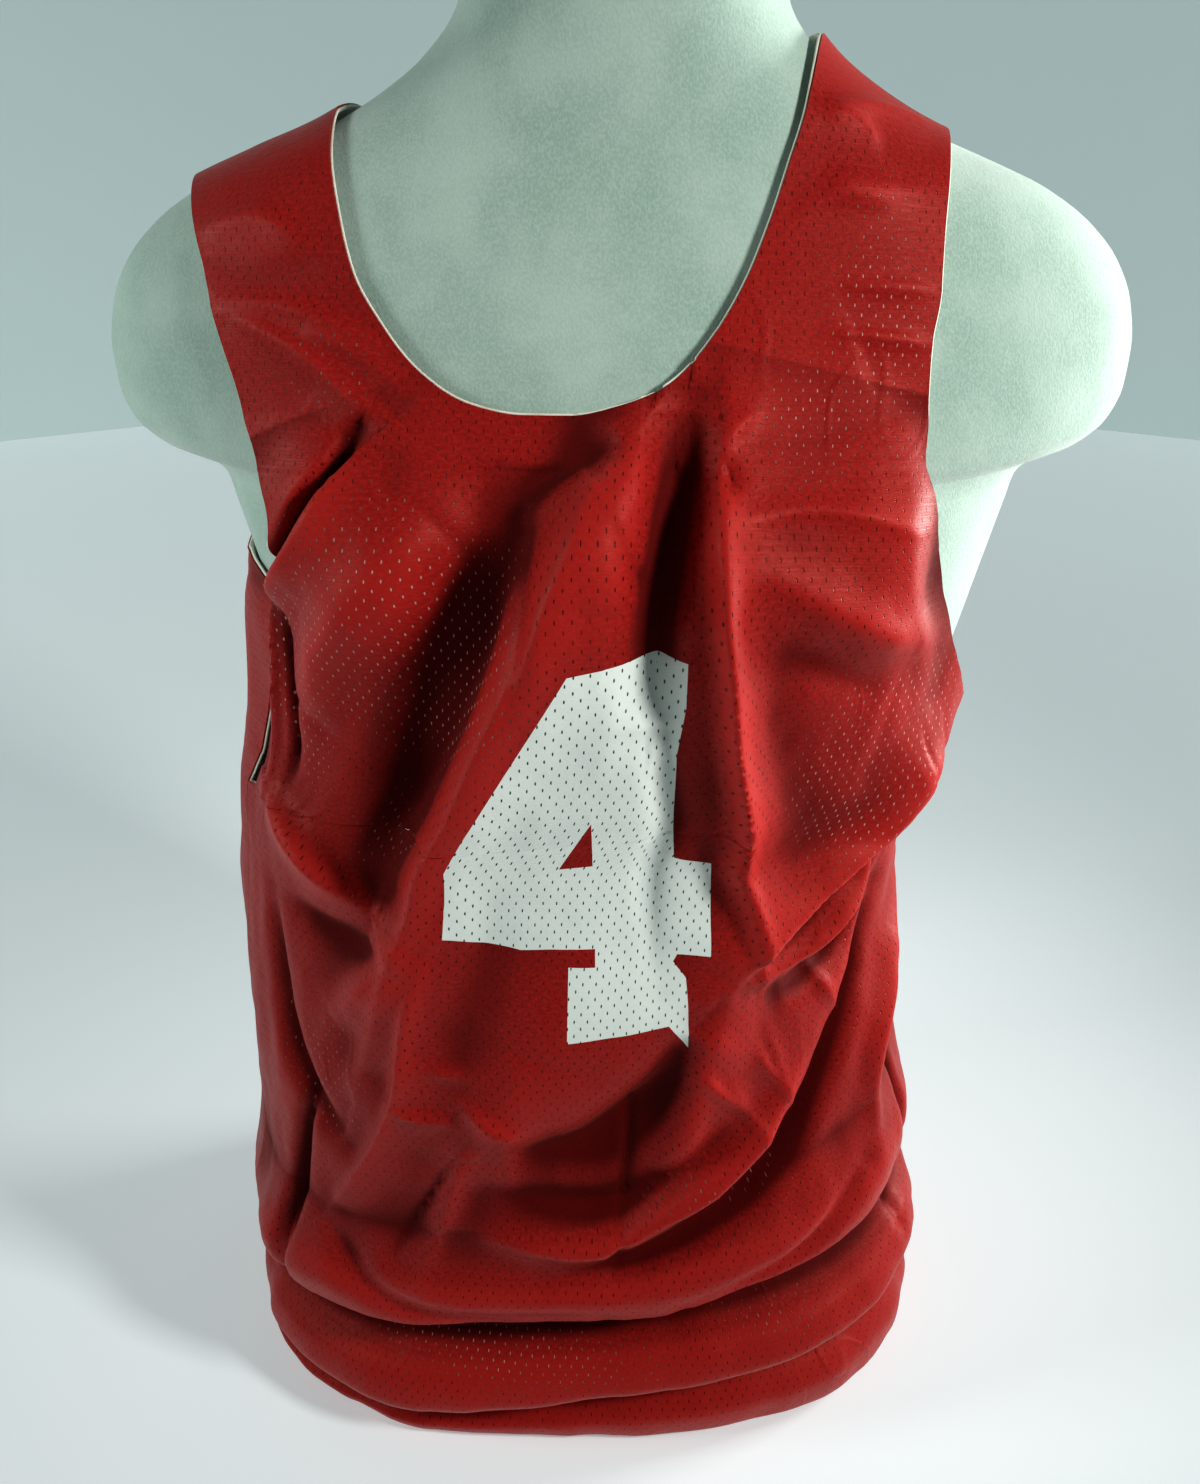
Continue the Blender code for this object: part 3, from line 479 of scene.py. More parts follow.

# %% [markdown]
# ## Folds
# A fold is a soft ridge or trough along a short path on the cloth.  Hung cloth drops
# more steeply on one side of a fold than on the other, so each one has two widths.
# They are listed one by one, as uneven in length and depth as real ones, with similar
# ones on the side that is turned away.

# %% Folds
# Folds in millimetres: path as x, height, x, height and so on; width on the side of
# growing x (or of growing height on a level path) and on the other side; rise
# (+ ridge, - trough); sharpness (1 round, 0.5 crisp); where it leans, how far its
# crest moves towards growing x.
FOLDS = {
    "front": (
        # broad billows that leave room for the troughs
        ((-150, 520, 0, 530, 140, 520), 55, 90, 11, 1.0),
        ((-80, 300, 0, 290, 80, 290), 60, 50, 6, 1.0),
        # left chest
        ((-116, 592, -128, 571, -141, 551, -158, 524), 3, 3.2, -14, 1.0),
        ((-121, 590, -133, 568, -146, 548, -162, 524), 3, 18, 7, 0.9),
        ((-107, 588, -122, 566, -137, 543, -152, 522, -160, 504), 14, 3.5, 11, 0.6, -6),
        ((-78, 556, -104, 528, -129, 494, -149, 452), 20, 22, 14, 0.9),
        ((-30, 588, -50, 552, -64, 515, -80, 472, -102, 420, -118, 375), 14, 24, -26, 1.0),
        ((-41, 552, -40, 525, -46, 480), 4, 5, -4, 0.8),
        ((-50, 543, -53, 506, -66, 460), 6, 6, 3, 0.8),
        ((-154.5, 500, -155.5, 480, -158, 445, -168, 408), 5, 3, -7, 0.8),
        ((-164, 520, -163, 489, -167, 450, -182, 395), 4, 6, 4.5, 0.8),
        # the long diagonal
        ((7, 596, -15, 558, -28, 529, -46, 487, -66, 441, -87, 397, -96, 368, -117, 307,
          -137, 250), 26, 12, 15, 0.7, -2),
        # creases under the neckline
        ((0, 589, -18, 580, -45, 568), 5, 9, -6, 0.7),
        ((-11, 574, -28, 566, -45, 554), 6, 7, 4, 0.6),
        ((-5, 555, 11, 530), 3, 6, -3, 0.6),
        ((-52, 562, -31, 571, -12, 578), 4, 6, 3, 0.7),
        # middle
        ((28, 606, 22, 566, 18, 538, 14, 500, 12, 465), 8, 13, -16, 0.9),
        ((8, 600, 2, 560, -4, 520), 8, 18, 8, 0.9),
        ((23, 505, 19, 449, 19, 402, 18, 320), 8, 8, -5.5, 0.9),
        ((42, 594, 38, 558, 39, 525, 44, 477, 52, 426, 59, 366, 64, 335), 22, 4, 10, 0.7),
        ((41, 560, 40, 525, 45, 477, 53, 426, 60, 366, 65, 330), 5, 3, 4, 0.8),
        ((40, 582, 48, 593, 56, 601), 3, 5, 3, 0.6),
        ((44, 580, 45, 566), 3, 3, -3, 0.6),
        # right chest
        ((46, 555, 77, 559, 104, 555, 126, 548), 6, 3, 3, 0.55),
        ((51, 541, 78, 526, 107, 508, 140, 491), 12, 10, 5, 0.8),
        ((61, 505, 89, 492, 121, 470), 12, 10, -4, 0.9),
        ((58, 560, 61, 500, 72, 430, 78, 375), 20, 12, -3, 1.0),
        ((118, 510, 131, 484, 141, 460), 10, 14, -3, 1.0),
        ((112, 600, 118, 548, 128, 500, 142, 448), 14, 45, 8, 1.0),
        # from the right armhole down
        ((162, 424, 146, 412, 120, 389, 94, 367, 63, 342, 50, 322), 20, 7, 14, 0.6),
        ((128, 385, 122, 362, 102, 338, 83, 328, 53, 320), 8, 10, 9, 0.7),
        ((135, 380, 126, 340, 110, 314, 80, 306), 9, 10, -12, 0.8),
        ((138, 340, 130, 295, 116, 254, 103, 222, 82, 190, 46, 168, 6, 150, -40, 140),
         8, 10, -14, 0.8),
        ((156, 325, 148, 274, 141, 234, 143, 182), 12, 12, 9, 0.8, -2),
        ((74, 290, 84, 258, 95, 225), 5, 3, 2.2, 0.5),
        ((53, 268, 66, 240, 81, 212), 5, 3, 2.2, 0.5),
        ((96, 326, 106, 300, 118, 275), 5, 3, 2.2, 0.5),
        # under the number
        ((36, 298, 22, 263, 0, 239, -24, 225, -63, 222), 12, 22, -15, 0.8),
        ((53, 322, 42, 280, 33, 231, 20, 200), 18, 10, 9, 0.7),
        ((-112, 248, -100, 244, -86, 243), 3, 5, 3.5, 0.6),
        ((-80, 257, -66, 247, -50, 239), 3, 6, 4.5, 0.6),
        ((-96, 275, -76, 272), 3, 4, 2.5, 0.6),
        ((-80, 226, -89, 189, -106, 138), 4, 9, 5, 0.55),
        # lower left
        ((-178, 402, -148, 375, -116, 355), 6, 16, 11, 0.7),
        ((-184, 345, -182, 271, -169, 233, -148, 208), 9, 9, -8, 0.9),
        ((-106, 354, -129, 315, -152, 286), 14, 10, 7, 0.7),
        ((-88, 352, -103, 303, -112, 256, -136, 200, -160, 160), 16, 5, 8, 0.55, -2),
        ((-171, 344, -137, 336, -111, 332), 6, 9, -5, 0.8),
        ((-168, 235, -176, 200, -182, 162, -188, 115, -186, 75), 5, 5, -12, 0.8),
        ((150, 240, 160, 200, 166, 155, 166, 100), 5, 5, -10, 0.8),
        ((-75, 238, -100, 190, -126, 140), 3, 3, -3, 0.7),
        ((7, 262, 3, 200, -4, 135), 3, 3, -2.5, 0.7),
        ((36, 276, 50, 258, 66, 240), 3, 4, 3, 0.6),
        ((70, 275, 78, 260, 88, 243), 3, 4, 3, 0.6),
        ((-45, 290, -60, 240, -90, 200), 24, 20, 6, 0.9),
        # over the swag
        ((-85, 170, -22, 163, 26, 186, 68, 215, 92, 250), 10, 9, 11, 0.8),
        ((-70, 196, -10, 184, 30, 206, 62, 236), 9, 8, -7, 0.8),
        ((-160, 150, -130, 122, -80, 112, -10, 118), 8, 10, -6, 0.9),
        ((36, 120, 96, 140, 135, 175), 7, 8, -7, 0.8),
        ((186, 414, 185, 398, 182, 378, 177, 345), 14, 16, -11, 1.0),
        # straps
        ((-186, 667, -160, 673, -136, 664), 4, 6, 3, 0.6),
        ((-183, 655, -155, 652, -128, 658), 3, 5, -3, 0.7),
        ((83, 716, 100, 708, 112, 694), 3, 5, 3, 0.6),
        ((104, 700, 121, 696, 136, 700), 3, 4, -3, 0.6),
        ((-180, 640, -145, 639, -118, 631, -100, 622), 4, 6, 3, 0.6),
        ((-176, 636, -141, 622, -115, 603, -97, 592), 4, 7, 4.5, 0.6),
        ((-141, 631, -119, 624, -88, 604), 5, 6, 3, 0.7),
        ((80, 712, 108, 714, 137, 706), 4, 4, 2.5, 0.6),
        ((83, 691, 101, 687, 130, 683), 3, 4, 2.5, 0.6),
        ((69, 676, 94, 684, 117, 679), 4, 4, 2.5, 0.6),
        ((90, 650, 136, 646), 3, 4, 2.5, 0.6),
        ((90, 632, 133, 625), 3, 5, 3, 0.6),
        # where the left armhole's edge lies against the torso
        ((-165, 502, -189, 508, -196.5, 508), 14, 12, -9, 1.0),
    ),
    "back": (
        ((-196.5, 508, -190, 510, -180, 518), 14, 14, -8, 1.0),
        # behind
        ((60, 640, 75, 500, 100, 330), 24, 10, 9, 0.7),
        ((20, 640, 25, 470, 45, 300), 14, 22, -7.5, 0.9),
        ((-50, 650, -40, 500, -20, 320), 10, 22, 8.3, 0.7),
        ((-95, 630, -90, 480, -80, 330), 18, 12, -6.7, 0.9),
        ((-130, 600, -135, 450, -150, 300), 10, 22, 8.3, 0.7),
        ((130, 430, 110, 350, 70, 260), 22, 8, 9, 0.6),
        ((-150, 320, -110, 250, -60, 215), 16, 12, -7.5, 0.8),
        ((120, 265, 60, 225, -10, 215), 10, 18, 6.7, 0.7),
        ((100, 600, 118, 500, 125, 440), 6, 10, 3.7, 0.6),
        ((-20, 600, 0, 520, 5, 440), 5, 8, 3, 0.6),
        ((150, 380, 165, 300, 150, 220), 10, 6, -6, 0.8),
        ((-160, 420, -150, 380, -110, 350), 6, 12, 5.3, 0.6),
        ((-60, 300, -30, 250, 20, 225), 10, 12, -6, 0.8),
        ((30, 660, 60, 655, 100, 660), 4, 6, 2.3, 0.6),
        ((-150, 640, -110, 625, -70, 600), 5, 8, 3, 0.6),
    ),
}
MILLIMETRES = 1000          # in a metre
PATH_SAMPLES = 14           # points that stand for one fold's path
ROUND_CREST = 0.15          # share of a fold's width over which its crest is rounded
FOLD_REACH = 3.2            # widths beyond which a fold isn't felt
TURN_MARGIN = 1.3           # extra reach sideways, where the torso is narrower
TAPER_ENDS = (0.03, 0.97)   # shares of a path between which its height tapers
TAPER_POWER = 0.6


def fold_paths():
    """Each fold as a short polyline in (azimuth, rise), with its sizes."""
    paths = []
    rows = [(side, *row) for side in FOLDS for row in FOLDS[side]]
    for side, path, wide_after, wide_before, lift, sharp, *lean in rows:
        points = np.reshape(path, (-1, 2)) / MILLIMETRES
        wide_after, wide_before, lift, lean = (
            length / MILLIMETRES for length in (wide_after, wide_before, lift, sum(lean)))
        knots = np.array([place(x, z, side == "back") for x, z in points])
        t = np.linspace(0, len(points) - 1, PATH_SAMPLES)
        path = np.stack([curve(range(len(points)), knots[:, k], t) for k in (0, 1)], -1)
        level = abs(points[-1][0] - points[0][0]) > abs(points[-1][1] - points[0][1])
        growing = (points[-1][0] > points[0][0]) if level else (points[-1][1] < points[0][1])
        if side == "back":
            growing = not growing
            lean = -lean
        widths = (wide_after, wide_before) if growing else (wide_before, wide_after)
        paths.append((path, widths, lift, lean, sharp))
    return paths


def fold_shift(azimuth, rise, paths):
    """How far the folds move each point outwards, and round the torso."""
    total, turned = np.zeros(azimuth.shape), np.zeros(azimuth.shape)
    for path, (wide_left, wide_right), lift, lean, sharp in paths:
        reach = FOLD_REACH * max(wide_left, wide_right)
        turn = (azimuth - path[:, 0].mean() + math.pi) % (2 * math.pi) - math.pi
        spread = np.ptp(path[:, 0]) / 2 + TURN_MARGIN * reach / FOLD_SCALE
        near = ((np.abs(turn) < spread) & (rise > path[:, 1].min() - reach)
                & (rise < path[:, 1].max() + reach))
        if not near.any():
            continue
        start = path[:-1]
        run = np.diff(path, axis=0) * (FOLD_SCALE, 1)
        turn = azimuth[near][:, None] - start[:, 0]
        turn = (turn + math.pi) % (2 * math.pi) - math.pi
        rel = np.stack([turn * FOLD_SCALE, rise[near][:, None] - start[:, 1]], -1)
        t = np.clip((rel * run).sum(-1) / (run ** 2).sum(-1), 0, 1)
        off = rel - t[..., None] * run
        gap = (off ** 2).sum(-1)
        pick = np.argmin(gap, -1)[:, None]
        along = (pick + np.take_along_axis(t, pick, 1))[:, 0] / len(run)
        hand = np.take_along_axis(run[:, 0] * rel[..., 1] - run[:, 1] * rel[..., 0], pick, 1)[:, 0]
        width = np.where(hand > 0, wide_left, wide_right)
        taper = np.sin(math.pi * np.clip(along, *TAPER_ENDS)) ** TAPER_POWER
        gap = np.take_along_axis(gap, pick, 1)[:, 0] / width ** 2
        gap = (gap + ROUND_CREST ** 2) ** sharp - ROUND_CREST ** (2 * sharp)
        bump = taper * np.exp(-gap)
        total[near] += lift * bump
        turned[near] += lean / FOLD_SCALE * bump
    return total, turned

# %% [markdown]
# ## Crumple
# Between the large folds the knit is never quite flat.  A slow, smooth noise, stretched
# downwards because the cloth hangs, gives it that unrest.

# %% Crumple
# Crumple: size across, size along, height.
CRUMPLE = ((0.060, 0.120, 0.0032), (0.026, 0.048, 0.0016), (0.010, 0.016, 0.00040))
FOLD_DEPTH = 1.3            # how much deeper the folds are than their table says
FOOT_DEPTH = 1.3            # how much deeper the fine rolls are than the solid's
GAP_SHADE = 1.6             # how much more the rolls count in the painted shade of hollows
SOFT_STOP = 0.004           # how softly a trough comes to rest on the torso
HANG_START, HANG_REACH = PIVOT + 0.02, 0.06     # where the cloth starts to hang free
TIGHT_CRUMPLE, TIGHT_STOP = 0.45, 0.35          # shares of both that stay on the shoulder


def crumple_height(azimuth, rise):
    """Small uneven height of the cloth."""
    total = np.zeros(azimuth.size)
    for across, along, height in CRUMPLE:
        circle = FOLD_SCALE / across
        spots = zip(np.sin(azimuth.ravel()) * circle, np.cos(azimuth.ravel()) * circle,
                    rise.ravel() / along)
        total += height * np.array([noise.noise((a, b, c)) for a, b, c in spots])
    return total.reshape(azimuth.shape)


FOLD_PATHS = fold_paths()


def cloth(azimuth, rise, shift):
    """Folded cloth and how far it stands out, with the rolls counted more for the painted shade:
    the smooth surface moved by all folds.
    """
    out, turned = fold_shift(azimuth, rise, FOLD_PATHS)
    azimuth = azimuth + turned
    hanging = np.clip((HANG_START - rise) / HANG_REACH, 0.0, 1.0)
    loose = TIGHT_CRUMPLE + (1 - TIGHT_CRUMPLE) * hanging
    out = out * FOLD_DEPTH + crumple_height(azimuth, rise) * loose + shift * FOOT_DEPTH
    room = room_behind(azimuth, rise)
    clear = out + room
    stop = SOFT_STOP * (TIGHT_STOP + (1 - TIGHT_STOP) * hanging)
    out = (clear + np.sqrt(clear ** 2 + stop ** 2)) / 2 - room
    points = surface(azimuth, rise) + out[..., None] * outward(azimuth, rise)
    points[..., 2] = np.maximum(points[..., 2], HEM_LEVEL)
    return points, out + shift * GAP_SHADE


print("folds:", len(FOLD_PATHS))

# %% [markdown]
# ## Cut of the panels
# Front and back are each a body and two straps.  Their neck and arm openings are
# outlines on the cloth, from the crest of the shoulder down.

# %% Outlines
# Outlines on the cloth: x, height; a height of None is the shoulder's crest.
NECK_FRONT = (
    (-0.130, None), (-0.127, 0.697), (-0.123, 0.678), (-0.117, 0.654),
    (-0.105, 0.634), (-0.088, 0.615), (-0.067, 0.603), (-0.045, 0.599),
    (-0.023, 0.599), (-0.002, 0.603), (0.020, 0.612), (0.036, 0.628),
    (0.051, 0.651), (0.061, 0.674), (0.069, 0.696), (0.076, 0.715), (0.089, None),
)
NECK_BACK = (
    (0.089, None), (0.075, 0.706), (0.060, 0.690), (0.040, 0.679), (0.015, 0.672),
    (-0.018, 0.669), (-0.050, 0.670), (-0.080, 0.675), (-0.105, 0.684), (-0.130, None),
)
ARM_FRONT_LEFT = (
    (-0.191, 0.392), (-0.181, 0.416), (-0.1695, 0.465), (-0.161, 0.508),
    (-0.1565, 0.532), (-0.158, 0.560), (-0.1695, 0.584), (-0.181, 0.632),
    (-0.187, 0.658), (-0.192, 0.673), (-0.1975, None),
)
ARM_FRONT_RIGHT = (
    (0.184, 0.4205), (0.172, 0.451), (0.155, 0.495), (0.145, 0.525), (0.138, 0.550),
    (0.135, 0.581), (0.134, 0.603), (0.134, 0.623), (0.137, 0.643), (0.138, 0.668),
    (0.140, 0.685), (0.1486, None),
)
# Armholes behind, up to the crest: azimuth in degrees, height.
ARM_BACK_RIGHT = (
    (84, 0.4205), (93, 0.429), (106, 0.447), (120, 0.482), (134, 0.530), (142, 0.575),
    (145, 0.628), (145, 0.672),
)
ARM_BACK_LEFT = (
    (291, 0.392), (295.2, 0.412), (297.4, 0.435), (299.2, 0.458), (300.4, 0.476),
    (300.6, 0.488), (299, 0.498), (294, 0.505), (286, 0.508), (275, 0.508), (262, 0.510),
    (250, 0.520), (239, 0.545), (229, 0.580), (225, 0.628), (228, 0.664),
)
SHELF_START = 6             # knot where the second armhole of a panel turns level


def outline(knots):
    """A smooth outline through (azimuth, rise) knots, by its own length."""
    knots = np.array(knots)
    length = np.linalg.norm(np.diff(knots * (FOLD_SCALE, 1), axis=0), axis=1)
    return np.concatenate([[0], np.cumsum(length)]), knots


def seen_outline(points, behind):
    """An outline given as x and height."""
    return outline([place(x, z, behind) for x, z in points])


def turned_outline(points, crest_x):
    """An outline given as azimuth in degrees and height, ending on the crest."""
    half = float(jersey_size(PIVOT)[1])
    knots = []
    for degrees, height in points:
        azimuth = math.radians(degrees)
        knots.append((azimuth, rise_of(half * math.sin(azimuth), height)))
    knots.append(place(crest_x, None, True))
    return outline(knots)


def along_outline(line, first, last, count):
    """Evenly spaced points of an outline from one knot to another."""
    length, knots = line
    at = np.linspace(length[first], length[last], count + 1)
    return np.stack([curve(length, knots[:, k], at) for k in (0, 1)], -1)


def cut(seam_from, seam_to, arm_low, neck, neck_foot, arm_start, arm_end, arm_foot):
    """The cut of one panel; the feet are the knots where its two straps start."""
    return {"from": seam_from, "to": seam_to, "arm_low": arm_low, "neck": neck,
            "neck_foot": neck_foot, "arm_start": arm_start, "arm_end": arm_end,
            "arm_foot": arm_foot}


SIDES = {
    "front": cut(SEAM_LEFT, SEAM_RIGHT, (ARMHOLE_LEFT, ARMHOLE_RIGHT),
                 seen_outline(NECK_FRONT, False), (5, 11), seen_outline(ARM_FRONT_LEFT, False),
                 seen_outline(ARM_FRONT_RIGHT, False), (6, 6)),
    "back": cut(SEAM_RIGHT, SEAM_LEFT + 2 * math.pi, (ARMHOLE_RIGHT, ARMHOLE_LEFT),
                seen_outline(NECK_BACK, True), (3, 7),
                turned_outline(ARM_BACK_RIGHT, ARM_FRONT_RIGHT[-1][0]),
                turned_outline(ARM_BACK_LEFT, ARM_FRONT_LEFT[-1][0]), (5, 13)),
}

# %% [markdown]
# ## Panels as fine grids
# A grid of near-square cells is the easiest net to fold.  The foot's rows run along a
# smooth curve through its table, so that each roll turns over roundly.

# %% Fine grids
PROFILE_SAMPLES = 1200      # points that measure the foot's profile


def smooth_rows(values, at):
    """Each column of a table of rows, read between its rows."""
    return np.stack([curve(range(len(values)), values[:, k], at)
                     for k in range(values.shape[1])], -1)


def foot_table(azimuth):
    """Rise and shift of every foot row at the given azimuths."""
    roll, swag, roll_hang, swag_hang = lips(azimuth)
    floor = np.full_like(roll, HEM_LEVEL)
    hang = {"hem": np.ones_like(roll), "roll": roll_hang, "swag": swag_hang}
    zones = ((floor, roll), (roll, swag), (swag, swag + SWAG_REACH))
    rises, shifts = [], []
    for zone, share, lift, shift, carrier in FOOT_ROWS:
        low, high = zones[zone]
        rises.append(low + share * (high - low) + lift * hang[carrier])
        shifts.append(shift * hang[carrier])
    return np.array(rises), np.array(shifts)


def foot_steps(count):
    """Places between the foot's rows, evenly spaced along the middle's profile."""
    rises, shifts = foot_table(np.array([0.0]))
    fine = np.linspace(0, len(FOOT_ROWS) - 1, PROFILE_SAMPLES)
    profile = np.hstack([smooth_rows(rises, fine), smooth_rows(shifts, fine)])
    length = np.concatenate([[0], np.cumsum(np.linalg.norm(np.diff(profile, axis=0), axis=1))])
    return np.interp(np.linspace(0, length[-1], count + 1), length, fine)


def panel_grids(side, cells):
    """Body and strap grids of one panel, as (azimuth, rise, shift)."""
    neck, arm_start, arm_end = side["neck"], side["arm_start"], side["arm_end"]
    neck_foot, arm_foot = side["neck_foot"], side["arm_foot"]
    columns = 2 * cells["strap"] + cells["neck"] + cells["shelf"]
    share = np.linspace(0, 1, columns + 1)
    hem = side["from"] + share * (side["to"] - side["from"])

    start_edge = along_outline(arm_start, 0, arm_foot[0], cells["chest_rows"])
    end_edge = along_outline(arm_end, 0, SHELF_START, cells["chest_rows"])
    shelf = along_outline(arm_end, SHELF_START, arm_foot[1], cells["shelf"])[::-1]
    scoop = along_outline(neck, neck_foot[0], neck_foot[1], cells["neck"])
    t = np.linspace(0, 1, cells["strap"] + 1)[:, None]
    start_foot = start_edge[-1] + t * (scoop[0] - start_edge[-1])
    end_foot = scoop[-1] + t * (shelf[0] - scoop[-1])
    top = np.concatenate([start_foot[:-1], scoop, end_foot[1:], shelf[1:]])

    rises, shifts = foot_table(hem)
    at = foot_steps(cells["foot_rows"])
    rise, shift = smooth_rows(rises, at), smooth_rows(shifts, at)
    arm_line = side["arm_low"][0] + share * (side["arm_low"][1] - side["arm_low"][0])
    climb = np.linspace(0, 1, cells["side_rows"] + 1)[1:, None]
    rise = np.concatenate([rise, rise[-1] + climb * (arm_line - rise[-1])])
    azimuth = np.tile(hem, (len(rise), 1))

    climb = np.linspace(0, 1, cells["chest_rows"] + 1)[1:, None]
    top_share = (top[:, 0] - top[0, 0]) / (top[-1, 0] - top[0, 0])
    mix = share + climb * (top_share - share)
    chest_azimuth = start_edge[1:, :1] + mix * (end_edge[1:, :1] - start_edge[1:, :1])
    chest_rise = arm_line + climb * (top[:, 1] - arm_line)
    chest_rise = (chest_rise + (1 - mix) * (start_edge[1:, 1:] - chest_rise[:, :1])
                  + mix * (end_edge[1:, 1:] - chest_rise[:, -1:]))
    azimuth = np.concatenate([azimuth, chest_azimuth])
    rise = np.concatenate([rise, chest_rise])
    shift = np.concatenate([shift, np.zeros((len(rise) - len(shift), columns + 1))])

    straps = []
    for arm, foot, neck_end, neck_knot, base in (
            (arm_start, arm_foot[0], 0, neck_foot[0], start_foot),
            (arm_end, arm_foot[1], len(neck[0]) - 1, neck_foot[1], end_foot[::-1])):
        outer = along_outline(arm, foot, len(arm[0]) - 1, cells["strap_rows"])
        inner = along_outline(neck, neck_knot, neck_end, cells["strap_rows"])
        grid = outer[:, None] + t[None] * (inner - outer)[:, None]
        grid[0] = base
        straps.append(grid)
    straps[1] = straps[1][:, ::-1]
    return (azimuth, rise, shift), straps

# %% [markdown]
# ## A map of the knit
# Holes and knit rows must follow the cloth, not the room.  A map gives every point its
# distance round and up the cloth, measured on the smooth surface, so that the holes
# keep one size everywhere.  The rows count down from the chest, and what the rolls
# take up ends at the hem, as it does in real cloth.

# %% Map of the knit
MAP_AZIMUTH = np.linspace(-math.pi, math.pi, 241)
MAP_RISE = np.concatenate([np.linspace(0, PIVOT, 60), np.linspace(PIVOT, CREST, 41)[1:]])
CHEST_ROW = 50              # row of the map at the height of the chest
INSIDE = 1.001              # keeps a reading just inside the map's last cell


def measured_maps():
    """Distance round and up the smooth cloth on a grid of azimuth and rise."""
    azimuth, rise = np.meshgrid(MAP_AZIMUTH, MAP_RISE)
    points = surface(azimuth, rise)
    step = np.linalg.norm(np.diff(points, axis=1), axis=-1)
    around = np.concatenate([np.zeros((len(rise), 1)), np.cumsum(step, axis=1)], axis=1)
    around -= around[:, [len(MAP_AZIMUTH) // 2]]
    step = np.linalg.norm(np.diff(points, axis=0), axis=-1)
    up = np.concatenate([np.zeros((1, azimuth.shape[1])), np.cumsum(step, axis=0)], axis=0)
    return around, up


def read_map(table, azimuth, rise):
    """A measured map read between its grid points."""
    turn = (azimuth + math.pi) % (2 * math.pi)
    a = np.clip(turn / (2 * math.pi) * (len(MAP_AZIMUTH) - 1), 0, len(MAP_AZIMUTH) - INSIDE)
    b = np.clip(np.interp(rise, MAP_RISE, np.arange(len(MAP_RISE))), 0, len(MAP_RISE) - INSIDE)
    i, j = a.astype(int), b.astype(int)
    u, v = a - i, b - j
    return ((table[j, i] * (1 - u) + table[j, i + 1] * u) * (1 - v)
            + (table[j + 1, i] * (1 - u) + table[j + 1, i + 1] * u) * v)


AROUND, UP = measured_maps()
print("girth of the cloth at the chest:",
      round(float(AROUND[CHEST_ROW, -1] - AROUND[CHEST_ROW, 0]), 3), "m")

# %% [markdown]
# ## Building one layer
# A layer is the folded sheet with a thin closed wall.  Vertex normals are shared where
# panels meet, so the seam stays closed.  The map of the knit, the place of the print,
# a mark for crests and hollows, which sets where highlight and shade are painted on the
# red layer, and one for where the lining lies close, which sets where its holes are
# painted white or as dark shade, are stored on the points.  A crest stands out of its
# surroundings, a hollow lies back, so the mark compares each point with the average
# level round it.

# %% One layer
LEVEL_PASSES = 360          # how far round a point its level is averaged, in passes
LEVEL_DEPTH = 0.014         # difference from its level between half and full crest
SAME_PLACE = 0.00002        # points nearer than this share their normal
CLOTH_CRISP = 70            # edges sharper than this many degrees stay crisp


def grid_faces(block):
    """Four-sided faces of a block of point numbers."""
    low, high = block[:-1], block[1:]
    return np.stack([low[:, :-1], low[:, 1:], high[:, 1:], high[:, :-1]], -1).reshape(-1, 4)


def crest_mark(heights):
    """1 on a crest, 0 in a hollow, 0.5 on an even stretch of a block; it sets where highlight and
    shade are painted.

    Each pass averages a point, at half the weight, with its four neighbours.
    """
    level = heights.copy()
    for _ in range(LEVEL_PASSES):
        wide = np.pad(level, 1, mode="edge")
        level = (wide[:-2, 1:-1] + wide[2:, 1:-1] + wide[1:-1, :-2] + wide[1:-1, 2:]
                 + 4 * level) / 8
    return np.clip(0.5 + (heights - level) / LEVEL_DEPTH, 0.0, 1.0)


def knit_rise(azimuth, rise, shift, foot):
    """Distance up the cloth of a panel's body; down the rolls it counts from their top."""
    up = read_map(UP, azimuth, rise)
    low = azimuth[:foot + 1], rise[:foot + 1]
    rolled = surface(*low) + shift[:foot + 1, :, None] * outward(*low)
    steps = np.linalg.norm(np.diff(rolled, axis=0), axis=-1)
    up[:foot] = up[foot] - np.cumsum(steps[::-1], axis=0)[::-1]
    return up


def panel_sheet(side, cells):
    """All points of one panel with their faces, coordinates and knit map."""
    body, straps = panel_grids(SIDES[side], cells)
    grids = [body]
    for grid in straps:
        rise = np.minimum(grid[1:, :, 1], CREST - SEAM_GAP / 2)
        grids.append((grid[1:, :, 0], rise, np.zeros(rise.shape)))
    ups = [knit_rise(*body, cells["foot_rows"])]
    ups += [read_map(UP, azimuth, rise) for azimuth, rise, _ in grids[1:]]
    ends = np.cumsum([0] + [up.size for up in ups])
    index = [np.arange(first, last).reshape(up.shape)
             for first, last, up in zip(ends, ends[1:], ups)]
    edges = {"body": index[0]}
    for number, first in enumerate((0, cells["strap"] + cells["neck"])):
        foot = index[0][-1, first:first + cells["strap"] + 1]
        edges["strap_%d" % number] = np.vstack([foot, index[number + 1]])
    places = np.concatenate([np.stack(grid[:2], -1).reshape(-1, 2) for grid in grids])
    up = np.concatenate([up.ravel() for up in ups])
    folded = [cloth(*grid) for grid in grids]
    return {"points": np.concatenate([points.reshape(-1, 3) for points, _ in folded]),
            "faces": np.concatenate([grid_faces(block) for block in edges.values()]),
            # the crest mark sets the red layer's painted highlight and painted shade
            "crest": np.concatenate([crest_mark(height).ravel() for _, height in folded]),
            "knit": np.stack([read_map(AROUND, *places.T), up], -1),
            "places": places, "edges": edges}


